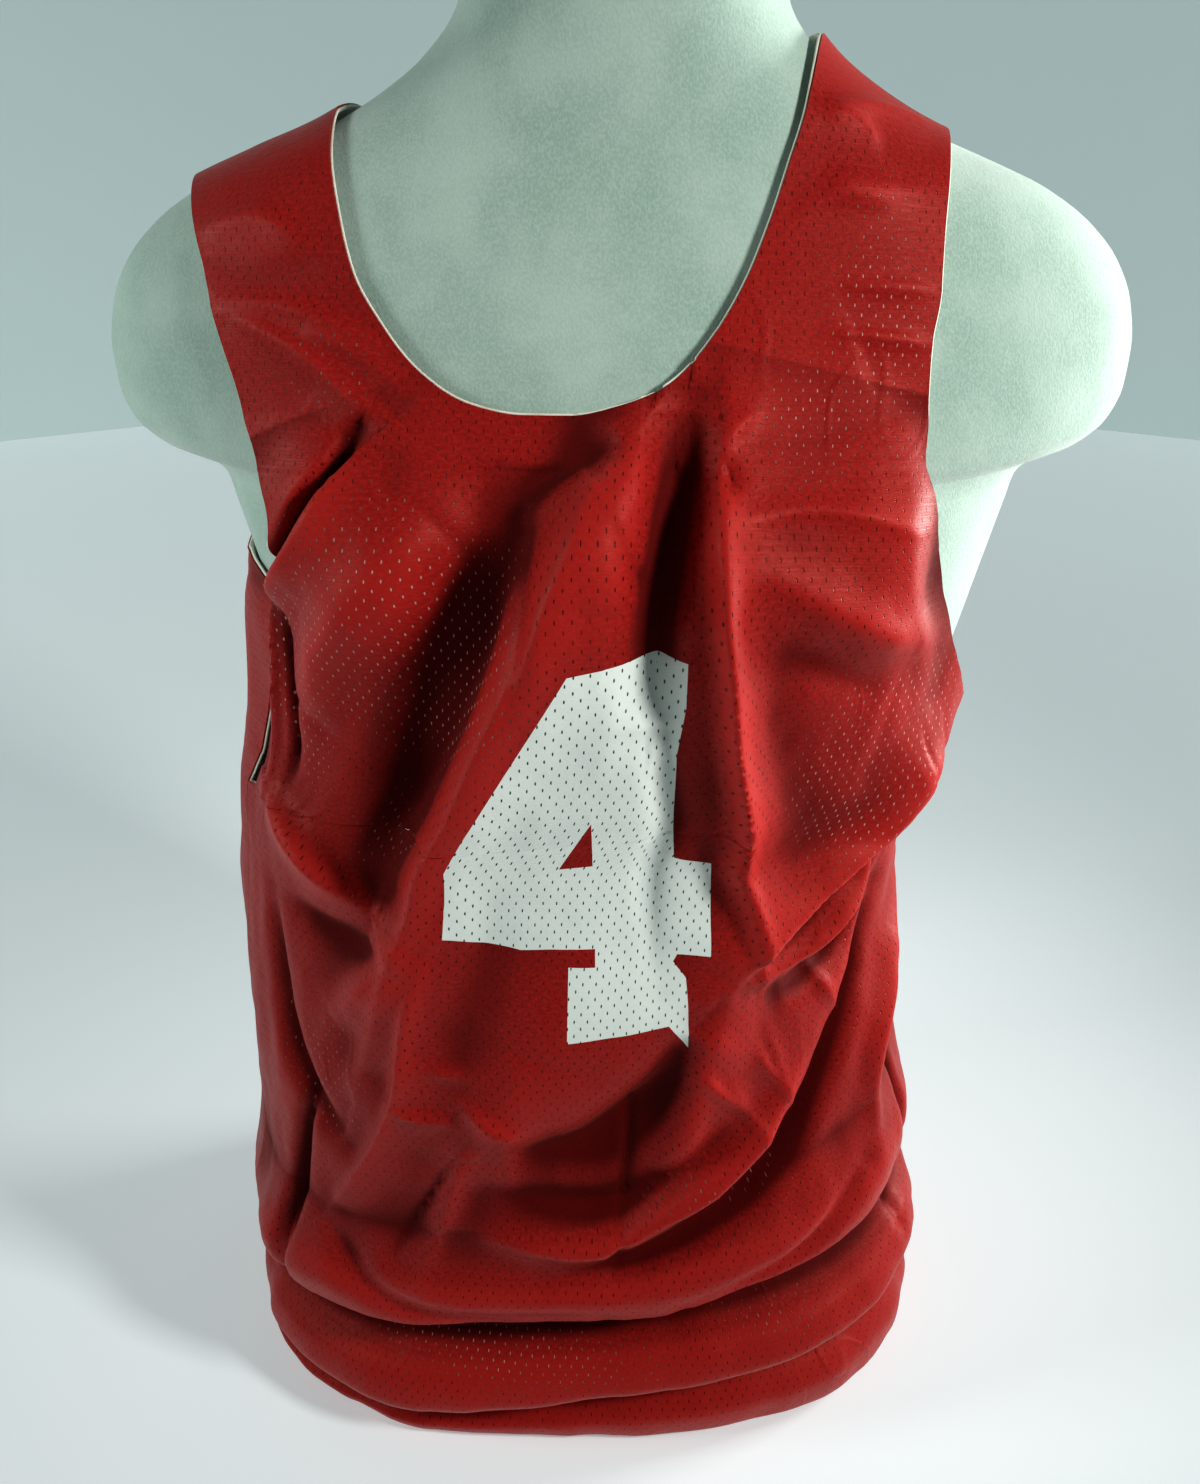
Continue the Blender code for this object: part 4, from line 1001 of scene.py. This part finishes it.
def joined_normals(sheets):
    """Vertex normals of several sheets, as one where their seams meet."""
    points = np.concatenate([sheet["points"] for sheet in sheets])
    first = np.cumsum([0] + [len(sheet["points"]) for sheet in sheets])
    faces = np.concatenate([sheet["faces"] + k for sheet, k in zip(sheets, first)])
    _, same = np.unique(np.round(points / SAME_PLACE).astype(int), axis=0, return_inverse=True)
    same = same.ravel()
    corners = points[faces]
    weight = np.cross(corners[:, 2] - corners[:, 0], corners[:, 3] - corners[:, 1])
    summed = np.zeros((same.max() + 1, 3))
    for k in range(4):
        np.add.at(summed, same[faces[:, k]], weight)
    normals = summed[same]
    normals /= np.maximum(np.linalg.norm(normals, axis=1, keepdims=True), TINY)
    return np.split(normals, first[1:-1])


def outer_rim(faces):
    """The open edges of a net of four-sided faces, as start and end points."""
    loops = np.concatenate([faces[:, [k, (k + 1) % 4]] for k in range(4)])
    span = np.int64(faces.max() + 1)
    key = loops[:, 0] * span + loops[:, 1]
    twin = loops[:, 1] * span + loops[:, 0]
    return loops[~np.isin(key, twin)]


def closed_wall(sheet, normals, outer, inner):
    """A closed wall under a sheet: its inner face has every second row and column."""
    points = sheet["points"]
    count = len(points)
    coarse = np.concatenate([grid_faces(block[::2, ::2]) for block in sheet["edges"].values()])
    kept, under = np.unique(coarse, return_inverse=True)
    under = under.reshape(-1, 4)
    both = np.concatenate([points - normals * outer, (points - normals * inner)[kept]])
    after = dict(outer_rim(sheet["faces"]).tolist())
    sides = []
    for first, last in outer_rim(under).tolist():
        start, end = int(kept[first]), int(kept[last])
        sides.append([end, after[start], start, first + count, last + count])
    faces = sheet["faces"].tolist() + (under[:, ::-1] + count).tolist() + sides
    return both, faces, np.concatenate([np.arange(count), kept])


def add_piece(name, points, faces, finish, maps=None, marks=None):
    """One named piece from points and faces, smooth with crisp rims."""
    mesh = smooth_mesh(name, (points + TO_AXIS).tolist(), faces, finish, CLOTH_CRISP)
    corner = np.empty(len(mesh.loops), dtype=np.int32)
    mesh.loops.foreach_get("vertex_index", corner)
    for kind, values in (maps or {}).items():
        layer = mesh.uv_layers.new(name=kind)
        layer.uv.foreach_set("vector", values[corner].astype(np.float32).ravel())
    for mark, values in (marks or {}).items():
        stored = mesh.attributes.new(mark, "FLOAT", "POINT")
        stored.data.foreach_set("value", values.astype(np.float32))
    print(name, len(mesh.vertices), "points,", sum(len(p.vertices) - 2 for p in mesh.polygons),
          "triangles")
    return placed(name, mesh)

# %% [markdown]
# ## The number
# A block 4 is printed low on the chest.  Printing is colour only.  The cloth carries a
# second map with the place of each point before it was folded, and the material tests
# that place against the number's outline, so the print's edge stays crisp.

# %% The number
NUMBER_OUTLINE = (
    (-0.022, 0.498), (0.016, 0.502), (0.027, 0.500), (0.027, 0.478), (0.024, 0.453),
    (0.025, 0.395), (0.042, 0.392), (0.042, 0.341), (0.027, 0.342), (0.025, 0.338),
    (0.031, 0.329), (0.034, 0.285), (0.023, 0.302), (-0.027, 0.297), (-0.026, 0.338),
    (-0.013, 0.338), (-0.013, 0.348), (-0.049, 0.347), (-0.083, 0.355), (-0.079, 0.393),
)
NUMBER_WINDOW = ((-0.0145, 0.4180), (-0.0140, 0.3935), (-0.0300, 0.3920))


LEVEL_EDGE = 1e-6           # an edge that rises less than this can't be passed
OFF_PRINT = -1.0            # a place that no print reaches


def printed(x, height, corners):
    """1 inside a closed outline: counts how often its edges pass a point's level."""
    above = [height.maths("GREATER_THAN", level) for _, level in corners]
    turns = 0.0
    for k, (x0, z0) in enumerate(corners):
        after = (k + 1) % len(corners)
        x1, z1 = corners[after]
        if abs(z1 - z0) < LEVEL_EDGE:
            continue
        slope = (x1 - x0) / (z1 - z0)
        beside = x.maths("LESS_THAN", height.maths("MULTIPLY_ADD", slope, x0 - slope * z0))
        turns = beside.maths("MULTIPLY_ADD", above[k] - above[after], turns)
    return turns.maths("ABSOLUTE")


def print_place(sheet):
    """Each point's place on the flat cloth, for printing: x and height."""
    azimuth, rise = sheet["places"].T
    height = np.where(np.cos(azimuth) > 0, rise, OFF_PRINT)
    return np.stack([surface(azimuth, rise)[:, 0], height], -1)

# %% [markdown]
# ## Where the lining shows through the holes
# Where the two layers touch, the holes show the lining's white; where they part, they
# are painted dark, as shade of the gap between the layers.  A short table of spots says
# where the layers touch.

# %% Close lining
# Spots where the layers touch: x, height, radius across, radius up, strength.
CLOSE_SPOTS = (
    (-0.095, 0.500, 0.050, 0.060, 1.0), (-0.150, 0.480, 0.020, 0.080, 0.8),
    (-0.120, 0.400, 0.050, 0.040, 0.35), (0.130, 0.430, 0.050, 0.060, 1.0),
    (0.110, 0.640, 0.030, 0.060, 0.7), (0.080, 0.600, 0.030, 0.040, 0.6),
    (-0.130, 0.620, 0.040, 0.040, 0.4), (0.055, 0.190, 0.035, 0.018, 0.7),
    (-0.060, 0.072, 0.110, 0.016, 0.6), (-0.160, 0.250, 0.040, 0.060, 0.5),
    (0.090, 0.090, 0.050, 0.016, 0.4),
)
LEAST_CLOSE = 0.15          # how close the lining lies elsewhere on the front
BEHIND_CLOSE = 0.7          # how close it comes behind, in slow waves
BEHIND_WAVES = (3.0, 9.0)   # those waves round the torso and up it


def close_mark(sheet):
    """How closely the lining lies behind each point, 0 to 1; where it is low, the holes get
    painted shade.
    """
    azimuth, rise = sheet["places"].T
    x = surface(azimuth, rise)[:, 0]
    best = np.full(len(x), LEAST_CLOSE)
    for at_x, at_z, across, up, strength in CLOSE_SPOTS:
        spot = strength * np.exp(-((x - at_x) / across) ** 2 - ((rise - at_z) / up) ** 2)
        best = np.maximum(best, spot)
    waves = 0.5 + 0.5 * np.sin(azimuth * BEHIND_WAVES[0] + rise * BEHIND_WAVES[1])
    return np.where(np.cos(azimuth) > 0, best, waves * BEHIND_CLOSE)

# %% [markdown]
# ## Red and white mesh cloth
# Both layers are the same knit: fine level rows with small upright holes, staggered
# from row to row.  The red one has a satin sheen and carries the number; its holes
# show the lining's white where the lining lies near and are painted dark, as shade of
# the gap, where it lies far.

# %% Mesh cloth finishes
HOLE_PITCH = (0.0064, 0.0040)   # across and up, from row to row
HOLE_RADIUS = (0.00036, 0.00100)
KNIT_ROW = 0.00133
MAP_OFFSET = 4.0            # keeps the map's distances above zero
ROW_HEIGHT, FUZZ_HEIGHT = 0.03, 0.5     # beside a hole's depth of 1
KNIT_DEPTH = 0.00030
CREASE_DEPTH = 0.0005
CREASE_BEND = (0.05, 0.05, 0.0)
PATCHES = (14.0, 9.0, 1.0)  # how often the dye changes, across and up
RED_DEEP, RED_BRIGHT = (0.140, 0.0034, 0.0030), (0.265, 0.0066, 0.0050)
RED_STREAK, RED_STITCH = (0.15, 0.003, 0.003), (0.42, 0.016, 0.013)
# painted highlight on crests and painted shade in hollows
RED_PAINTED_HIGHLIGHT, RED_PAINTED_SHADE = (0.42, 0.014, 0.011), (0.045, 0.0005, 0.0007)
# holes: painted shade of the gap, and the lining's white seen through
PAINTED_GAP_SHADE, HOLE_LINED = (0.055, 0.002, 0.002), (0.50, 0.22, 0.20)
INK_DULL, INK_BRIGHT = (0.66, 0.74, 0.69), (0.76, 0.83, 0.78)
# painted shade of the print, in its hollows and in its holes
INK_PAINTED_SHADE, PAINTED_INK_HOLE_SHADE = (0.40, 0.47, 0.45), (0.020, 0.045, 0.040)
WHITE_DULL, WHITE_BRIGHT, WHITE_HOLE = (0.70, 0.72, 0.64), (0.82, 0.83, 0.76), (0.25, 0.08, 0.07)


def map_place(nodes, kind):
    """One of a piece's maps and its two distances."""
    made = nodes.new("ShaderNodeUVMap")
    made.uv_map = kind
    place = Value(made.outputs[0])
    split = place.node("ShaderNodeSeparateXYZ")
    feed(place, split.inputs[0])
    return place, Value(split.outputs[0]), Value(split.outputs[1])


def holes(u, v):
    """1 in the middle of each hole, 0 on the cloth."""
    row = (v + MAP_OFFSET) / HOLE_PITCH[1]
    odd = row.maths("FLOOR").maths("MODULO", 2.0)
    across = (u + MAP_OFFSET) / HOLE_PITCH[0] + odd * 0.5
    dx, dy = ((value.maths("FRACT") - 0.5) * (pitch / radius)
              for value, pitch, radius in zip((across, row), HOLE_PITCH, HOLE_RADIUS))
    return ramp((dx * dx + dy * dy).maths("SQRT"), 0.75, 1.2, 1.0, 0.0)


def knit_bump(v, place, hole):
    """The knit's bump: level rows, sunk holes and a little fuzz."""
    rows = (v * (2 * math.pi / KNIT_ROW)).maths("SINE")
    fuzz = noise_at(place, (700.0, 1500.0, 1.0))
    return bumped(rows * ROW_HEIGHT + fuzz * FUZZ_HEIGHT - hole, KNIT_DEPTH, 0.8)


def creases(place):
    """Fine pressed creases: the ridges of a slow noise, bent by another one."""
    moved = place.node("ShaderNodeVectorMath")
    moved.operation = "MULTIPLY_ADD"
    feed_all((noise_at(place, (10.0, 10.0, 1.0)), CREASE_BEND, place), moved)
    slow = noise_at(Value(moved.outputs[0]), (26.0, 11.0, 1.0), 1.0)
    ridge = ramp((slow - 0.5).maths("ABSOLUTE"), 0.0, 0.035, 1.0, 0.0)
    return ridge * ramp(noise_at(place, (9.0, 9.0, 1.0), 1.0), 0.52, 0.72)


def red_mesh_finish():
    """Red satin mesh with the white print, painted highlight on crests and painted shade in
    hollows and holes.
    """
    finish, nodes, shader = finished("red_mesh_cloth", {
        "Specular IOR Level": 0.20, "Specular Tint": (1.0, 0.22, 0.17, 1.0),
        "Sheen Weight": 0.06, "Sheen Roughness": 0.4, "Sheen Tint": (1.0, 0.15, 0.10, 1.0)})
    place, u, v = map_place(nodes, "knit")
    hole = holes(u, v)
    patch = noise_at(place, PATCHES, 3.0)
    mottle = noise_at(place, (420.0, 620.0, 1.0), 3.0, 0.7)
    streak = noise_at(place, (60.0, 900.0, 1.0))
    # dye, uneven in patches, streaks and stitches
    red = blend(patch, RED_DEEP, RED_BRIGHT)
    red = blend(ramp(streak, 0.30, 0.75, 0.0, 0.14), red, RED_STREAK)
    red = blend(ramp(mottle, 0.35, 0.75, 0.0, 0.50), red, RED_STITCH)
    # painted highlight on crests and painted shade in hollows, from the crest mark
    crest = attribute(nodes, "crest")
    hollow = ramp(crest, 0.10, 0.52, 0.92, 0.0)
    red = blend(ramp(crest, 0.5, 1.0, 0.0, 0.5), red, RED_PAINTED_HIGHLIGHT)
    red = blend(hollow, red, RED_PAINTED_SHADE)
    # holes: the lining's white where it lies close, elsewhere painted shade of the gap behind them
    seen = attribute(nodes, "close") + noise_at(place, (90.0, 90.0, 1.0), 1.0) * 0.5
    core = ramp(seen, 0.45, 0.95) * ramp(hole, 0.85, 1.0)
    through = blend(core, PAINTED_GAP_SHADE, HOLE_LINED)
    faint = ramp(noise_at(place, (45.0, 45.0, 1.0)), 0.3, 0.6, 0.35, 1.0)
    knitted = blend(hole * faint, red, through)
    # the printed number
    ink = blend(patch, INK_DULL, INK_BRIGHT)
    # painted shade in the print's hollows
    ink = blend(ramp(crest, 0.0, 0.5, 0.6, 0.0), ink, INK_PAINTED_SHADE)
    # painted shade in the holes of the print
    ink = blend(hole, ink, PAINTED_INK_HOLE_SHADE)
    _, x, height = map_place(nodes, "printing")
    number = printed(x, height, NUMBER_OUTLINE) - printed(x, height, NUMBER_WINDOW)
    feed(blend(number, knitted, ink), shader["Base Color"])
    feed(ramp(streak, 0.2, 0.8, 0.42, 0.56) + hollow * 0.38, shader["Roughness"])
    feed(bumped(creases(place), CREASE_DEPTH, 0.7, knit_bump(v, place, hole)), shader["Normal"])
    return finish


def white_mesh_finish():
    """Cream-white mesh of the inner layer."""
    finish, nodes, shader = finished("white_mesh_cloth", {"Roughness": 0.62, "Sheen Weight": 0.2})
    place, u, v = map_place(nodes, "knit")
    hole = holes(u, v)
    patch = noise_at(place, PATCHES, 3.0)
    white = blend(patch, WHITE_DULL, WHITE_BRIGHT)
    feed(blend(hole, white, WHITE_HOLE), shader["Base Color"])
    feed(knit_bump(v, place, hole), shader["Normal"])
    return finish


RED = red_mesh_finish()
WHITE = white_mesh_finish()

# %% [markdown]
# ## The display torso
# The torso is padded and covered with a tight pale cloth.  It is a smooth lathe-like
# skin with more rings than the solid, and its finish has the fine grain of a brushed
# knit, slightly mottled from handling.

# %% Torso
TORSO_COLUMNS = 160
TORSO_RINGS = 190
TORSO_CRISP = 50            # edges sharper than this many degrees stay crisp
TORSO_DARK, TORSO_PALE = (0.23, 0.345, 0.285), (0.33, 0.45, 0.385)
TORSO_GRAIN = (0.42, 0.53, 0.47)
PILE_DEPTH = 0.0004


def torso_finish():
    """Pale brushed cloth of the torso."""
    finish, nodes, shader = finished("torso_cloth", {
        "Roughness": 0.9, "Specular IOR Level": 0.2, "Sheen Weight": 0.3,
        "Sheen Roughness": 0.6})
    place = object_place(nodes)
    cloudy = ramp(noise_at(place, 24.0, 4.0), 0.3, 0.7)
    grain = noise_at(place, (900.0, 900.0, 650.0))
    base = blend(cloudy, TORSO_DARK, TORSO_PALE)
    feed(blend(ramp(grain, 0.35, 0.7, 0.0, 0.4), base, TORSO_GRAIN), shader["Base Color"])
    pile = grain + noise_at(place, 240.0, 3.0) * 0.7
    feed(bumped(pile, PILE_DEPTH, 0.5), shader["Normal"])
    return finish


def build_torso():
    """The smooth torso: fine oval rings, a flat foot and a flat neck top."""
    known = [row[0] for row in TORSO]
    heights = np.unique(np.concatenate([known, np.linspace(0, known[-1], TORSO_RINGS)]))
    wide, deep = torso_size(heights)
    turn = np.linspace(0, 2 * math.pi, TORSO_COLUMNS, endpoint=False)
    rings = np.stack([wide[:, None] * np.sin(turn), -deep[:, None] * np.cos(turn),
                      np.repeat(heights[:, None], TORSO_COLUMNS, 1)], -1)
    count = len(heights) * TORSO_COLUMNS
    index = np.arange(count).reshape(len(heights), TORSO_COLUMNS)
    faces = grid_faces(np.hstack([index, index[:, :1]]))
    caps = []
    points = [rings.reshape(-1, 3), [(0, 0, heights[0]), (0, 0, heights[-1])]]
    for k in range(TORSO_COLUMNS):
        after = (k + 1) % TORSO_COLUMNS
        caps.append([index[0, after], index[0, k], count])
        caps.append([index[-1, k], index[-1, after], count + 1])
    mesh = smooth_mesh("torso_skin", (np.concatenate(points) + TO_AXIS).tolist(),
                       faces.tolist() + [[int(k) for k in cap] for cap in caps],
                       torso_finish(), TORSO_CRISP)
    print("torso", len(mesh.vertices), "points")
    return placed("torso_skin", mesh)


torso = build_torso()

# %% [markdown]
# ## The four cloth layers
# Red outside and white inside, each in a front and a back.  The white layer repeats
# the red one's sheet a little further in.

# %% Cloth layers
RED_CELLS = {
    "front": {"strap": 36, "neck": 136, "shelf": 0, "foot_rows": 148, "side_rows": 88,
              "chest_rows": 108, "strap_rows": 60},
    "back": {"strap": 24, "neck": 88, "shelf": 28, "foot_rows": 148, "side_rows": 88,
             "chest_rows": 80, "strap_rows": 56},
}
LINING_DEPTH = CLOTH_WALL + LAYER_GAP


def part_seam(sheet, cells):
    """Leave a hair of air where front and back are sewn together."""
    body = sheet["edges"]["body"][:cells["foot_rows"] + cells["side_rows"] + 1]
    for edge, beside in ((0, 1), (-1, -2)):
        pull = sheet["points"][body[:, beside]] - sheet["points"][body[:, edge]]
        pull /= np.linalg.norm(pull, axis=1, keepdims=True)
        sheet["points"][body[:, edge]] += pull * SEAM_GAP / 2


def build_layers():
    """All four layers of the jersey."""
    sheets = {side: panel_sheet(side, RED_CELLS[side]) for side in ("front", "back")}
    normals = joined_normals(list(sheets.values()))
    made = {}
    for (side, sheet), normal in zip(sheets.items(), normals):
        part_seam(sheet, RED_CELLS[side])
        sheet["normals"] = normal
        points, faces, source = closed_wall(sheet, normal, 0.0, CLOTH_WALL)
        printing = print_place(sheet)[source]
        printing[len(sheet["points"]):] = OFF_PRINT
        made[side + "_red"] = add_piece(side + "_red_layer", points, faces, RED,
                                        {"knit": sheet["knit"][source], "printing": printing},
                                        {"close": close_mark(sheet)[source],
                                         "crest": sheet["crest"][source]})
        points, faces, source = closed_wall(sheet, normal, LINING_DEPTH, LINING_DEPTH + CLOTH_WALL)
        made[side + "_white"] = add_piece(side + "_white_layer", points, faces, WHITE,
                                          {"knit": sheet["knit"][source]})
    return made, sheets


layers, sheets = build_layers()

# %% [markdown]
# ## Turned edges
# Round the neck and the armholes the white layer is rolled a little past the red one.
# A node tool sweeps a small round section along each opening's own edge.

# %% Turned edges
EDGE_RADIUS = 0.00065
EDGE_SIDES = 8
EDGE_OUT = 0.5              # how far it stands past the red edge, in its own radii
EDGE_IN = 0.2               # how far inside the white layer's face, in walls
EDGE_STEP = 0.0004          # points of a line nearer than this count as one
CREAM_DULL, CREAM_BRIGHT, CREAM_WORN = (0.62, 0.58, 0.47), (0.80, 0.77, 0.66), (0.50, 0.36, 0.28)
WEAVE_DEPTH = 0.0002


def edge_cloth_finish():
    """Cream cloth of the rolled edge, browner where it is worn."""
    finish, nodes, shader = finished("edge_cloth", {"Roughness": 0.7})
    place = object_place(nodes)
    grain = noise_at(place, 900.0)
    worn = ramp(noise_at(place, 60.0), 0.45, 0.75, 0.0, 0.5)
    cream = blend(grain, CREAM_DULL, CREAM_BRIGHT)
    feed(blend(worn, cream, CREAM_WORN), shader["Base Color"])
    feed(bumped(grain, WEAVE_DEPTH, 0.6), shader["Normal"])
    return finish


def roll_tool():
    """Node tool: sweeps a round section along every path of a mesh."""
    tool = bpy.data.node_groups.new("edge_roll", "GeometryNodeTree")
    for name, side, kind in (("Path", "INPUT", "Geometry"), ("Radius", "INPUT", "Float"),
                             ("Sides", "INPUT", "Int"), ("Finish", "INPUT", "Material"),
                             ("Roll", "OUTPUT", "Geometry")):
        tool.interface.new_socket(name, in_out=side, socket_type="NodeSocket" + kind)
    start, end = tool.nodes.new("NodeGroupInput"), tool.nodes.new("NodeGroupOutput")
    path, section, sweep, smooth, real, dress = (
        tool.nodes.new("GeometryNode" + kind) for kind in (
            "MeshToCurve", "CurvePrimitiveCircle", "CurveToMesh", "SetShadeSmooth",
            "RealizeInstances", "SetMaterial"))
    for source, given, target, taken in (
            (start, "Path", path, "Mesh"), (start, "Radius", section, "Radius"),
            (start, "Sides", section, "Resolution"), (path, "Curve", sweep, "Curve"),
            (section, "Curve", sweep, "Profile Curve"), (sweep, "Mesh", smooth, "Geometry"),
            (smooth, "Geometry", real, "Geometry"), (real, "Geometry", dress, "Geometry"),
            (start, "Finish", dress, "Material"), (dress, "Geometry", end, "Roll")):
        tool.links.new(source.outputs[given], target.inputs[taken])
    return tool


def opening_edges(sheet, cells):
    """Point numbers along a panel's neck and arm edges, each with its inner neighbour."""
    body, first, last = (sheet["edges"][part] for part in ("body", "strap_0", "strap_1"))
    low = cells["foot_rows"] + cells["side_rows"]
    scoop = slice(cells["strap"] + 1, cells["strap"] + cells["neck"])
    neck = np.concatenate([first[::-1, [-1, -2]], body[[-1, -2], scoop].T, last[:, [0, 1]]])
    arm_start = np.concatenate([body[low:, [0, 1]], first[1:, [0, 1]]])
    shelf = body[[-1, -2], -cells["shelf"] - 1:-1].T[::-1]
    arm_end = np.concatenate([body[low:, [-1, -2]], shelf, last[1:, [-1, -2]]])
    return {"neck": neck, "arm_start": arm_start, "arm_end": arm_end}


def roll_line(sheet, pairs):
    """The middle line of the rolled edge beside a panel's edge."""
    edge, beside = sheet["points"][pairs[:, 0]], sheet["points"][pairs[:, 1]]
    away = edge - beside
    away /= np.maximum(np.linalg.norm(away, axis=1, keepdims=True), TINY)
    depth = LINING_DEPTH + EDGE_IN * CLOTH_WALL
    return edge + away * EDGE_RADIUS * EDGE_OUT - sheet["normals"][pairs[:, 0]] * depth


def turned_edge(name, lines, finish, tool):
    """One closed rolled edge that follows several lines in turn."""
    points = np.concatenate(lines) + TO_AXIS
    apart = np.linalg.norm(points - np.roll(points, 1, axis=0), axis=1) > EDGE_STEP
    points = points[apart]
    count = len(points)
    mesh = bpy.data.meshes.new(name)
    mesh.from_pydata(points.tolist(), [(k, (k + 1) % count) for k in range(count)], [])
    guide = placed(name + "_guide", mesh)
    sweep = guide.modifiers.new("edge_roll", "NODES")
    sweep.node_group = tool
    sockets = {item.name: item.identifier for item in tool.interface.items_tree
               if item.in_out == "INPUT"}
    sweep[sockets["Radius"]] = EDGE_RADIUS
    sweep[sockets["Sides"]] = EDGE_SIDES
    sweep[sockets["Finish"]] = finish
    shapes = bpy.context.evaluated_depsgraph_get()
    swept = bpy.data.meshes.new_from_object(guide.evaluated_get(shapes))
    swept.name = name
    bpy.data.objects.remove(guide)
    print(name, count, "steps,", len(swept.polygons), "faces")
    return placed(name, swept)


def build_edges():
    """The rolled edges of the neck and of both armholes."""
    edges = {side: opening_edges(sheets[side], RED_CELLS[side]) for side in sheets}
    front, back = ({part: roll_line(sheets[side], pairs) for part, pairs in edges[side].items()}
                   for side in ("front", "back"))
    finish, tool = edge_cloth_finish(), roll_tool()
    return [turned_edge(name, lines, finish, tool) for name, lines in (
        ("neck_edge", (front["neck"], back["neck"])),
        ("left_arm_edge", (front["arm_start"], back["arm_end"][::-1])),
        ("right_arm_edge", (back["arm_start"], front["arm_end"][::-1])))]


turned_edges = build_edges()

# %% [markdown]
# ## Handing the pieces over
# Each piece rides on the one body, stands for its solid, names its material and, for
# cloth, says the size it was cut to.

# %% Hand over
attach(torso, "root")
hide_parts("display_form")
for edge in turned_edges:
    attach(edge, "root")
for side in ("front", "back"):
    red, white = layers[side + "_red"], layers[side + "_white"]
    for piece, node, slot in ((red, side + "_panel", "red_mesh"),
                              (white, side + "_lining", "white_mesh")):
        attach(piece, "root")
        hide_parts(node)

bpy.context.view_layer.update()
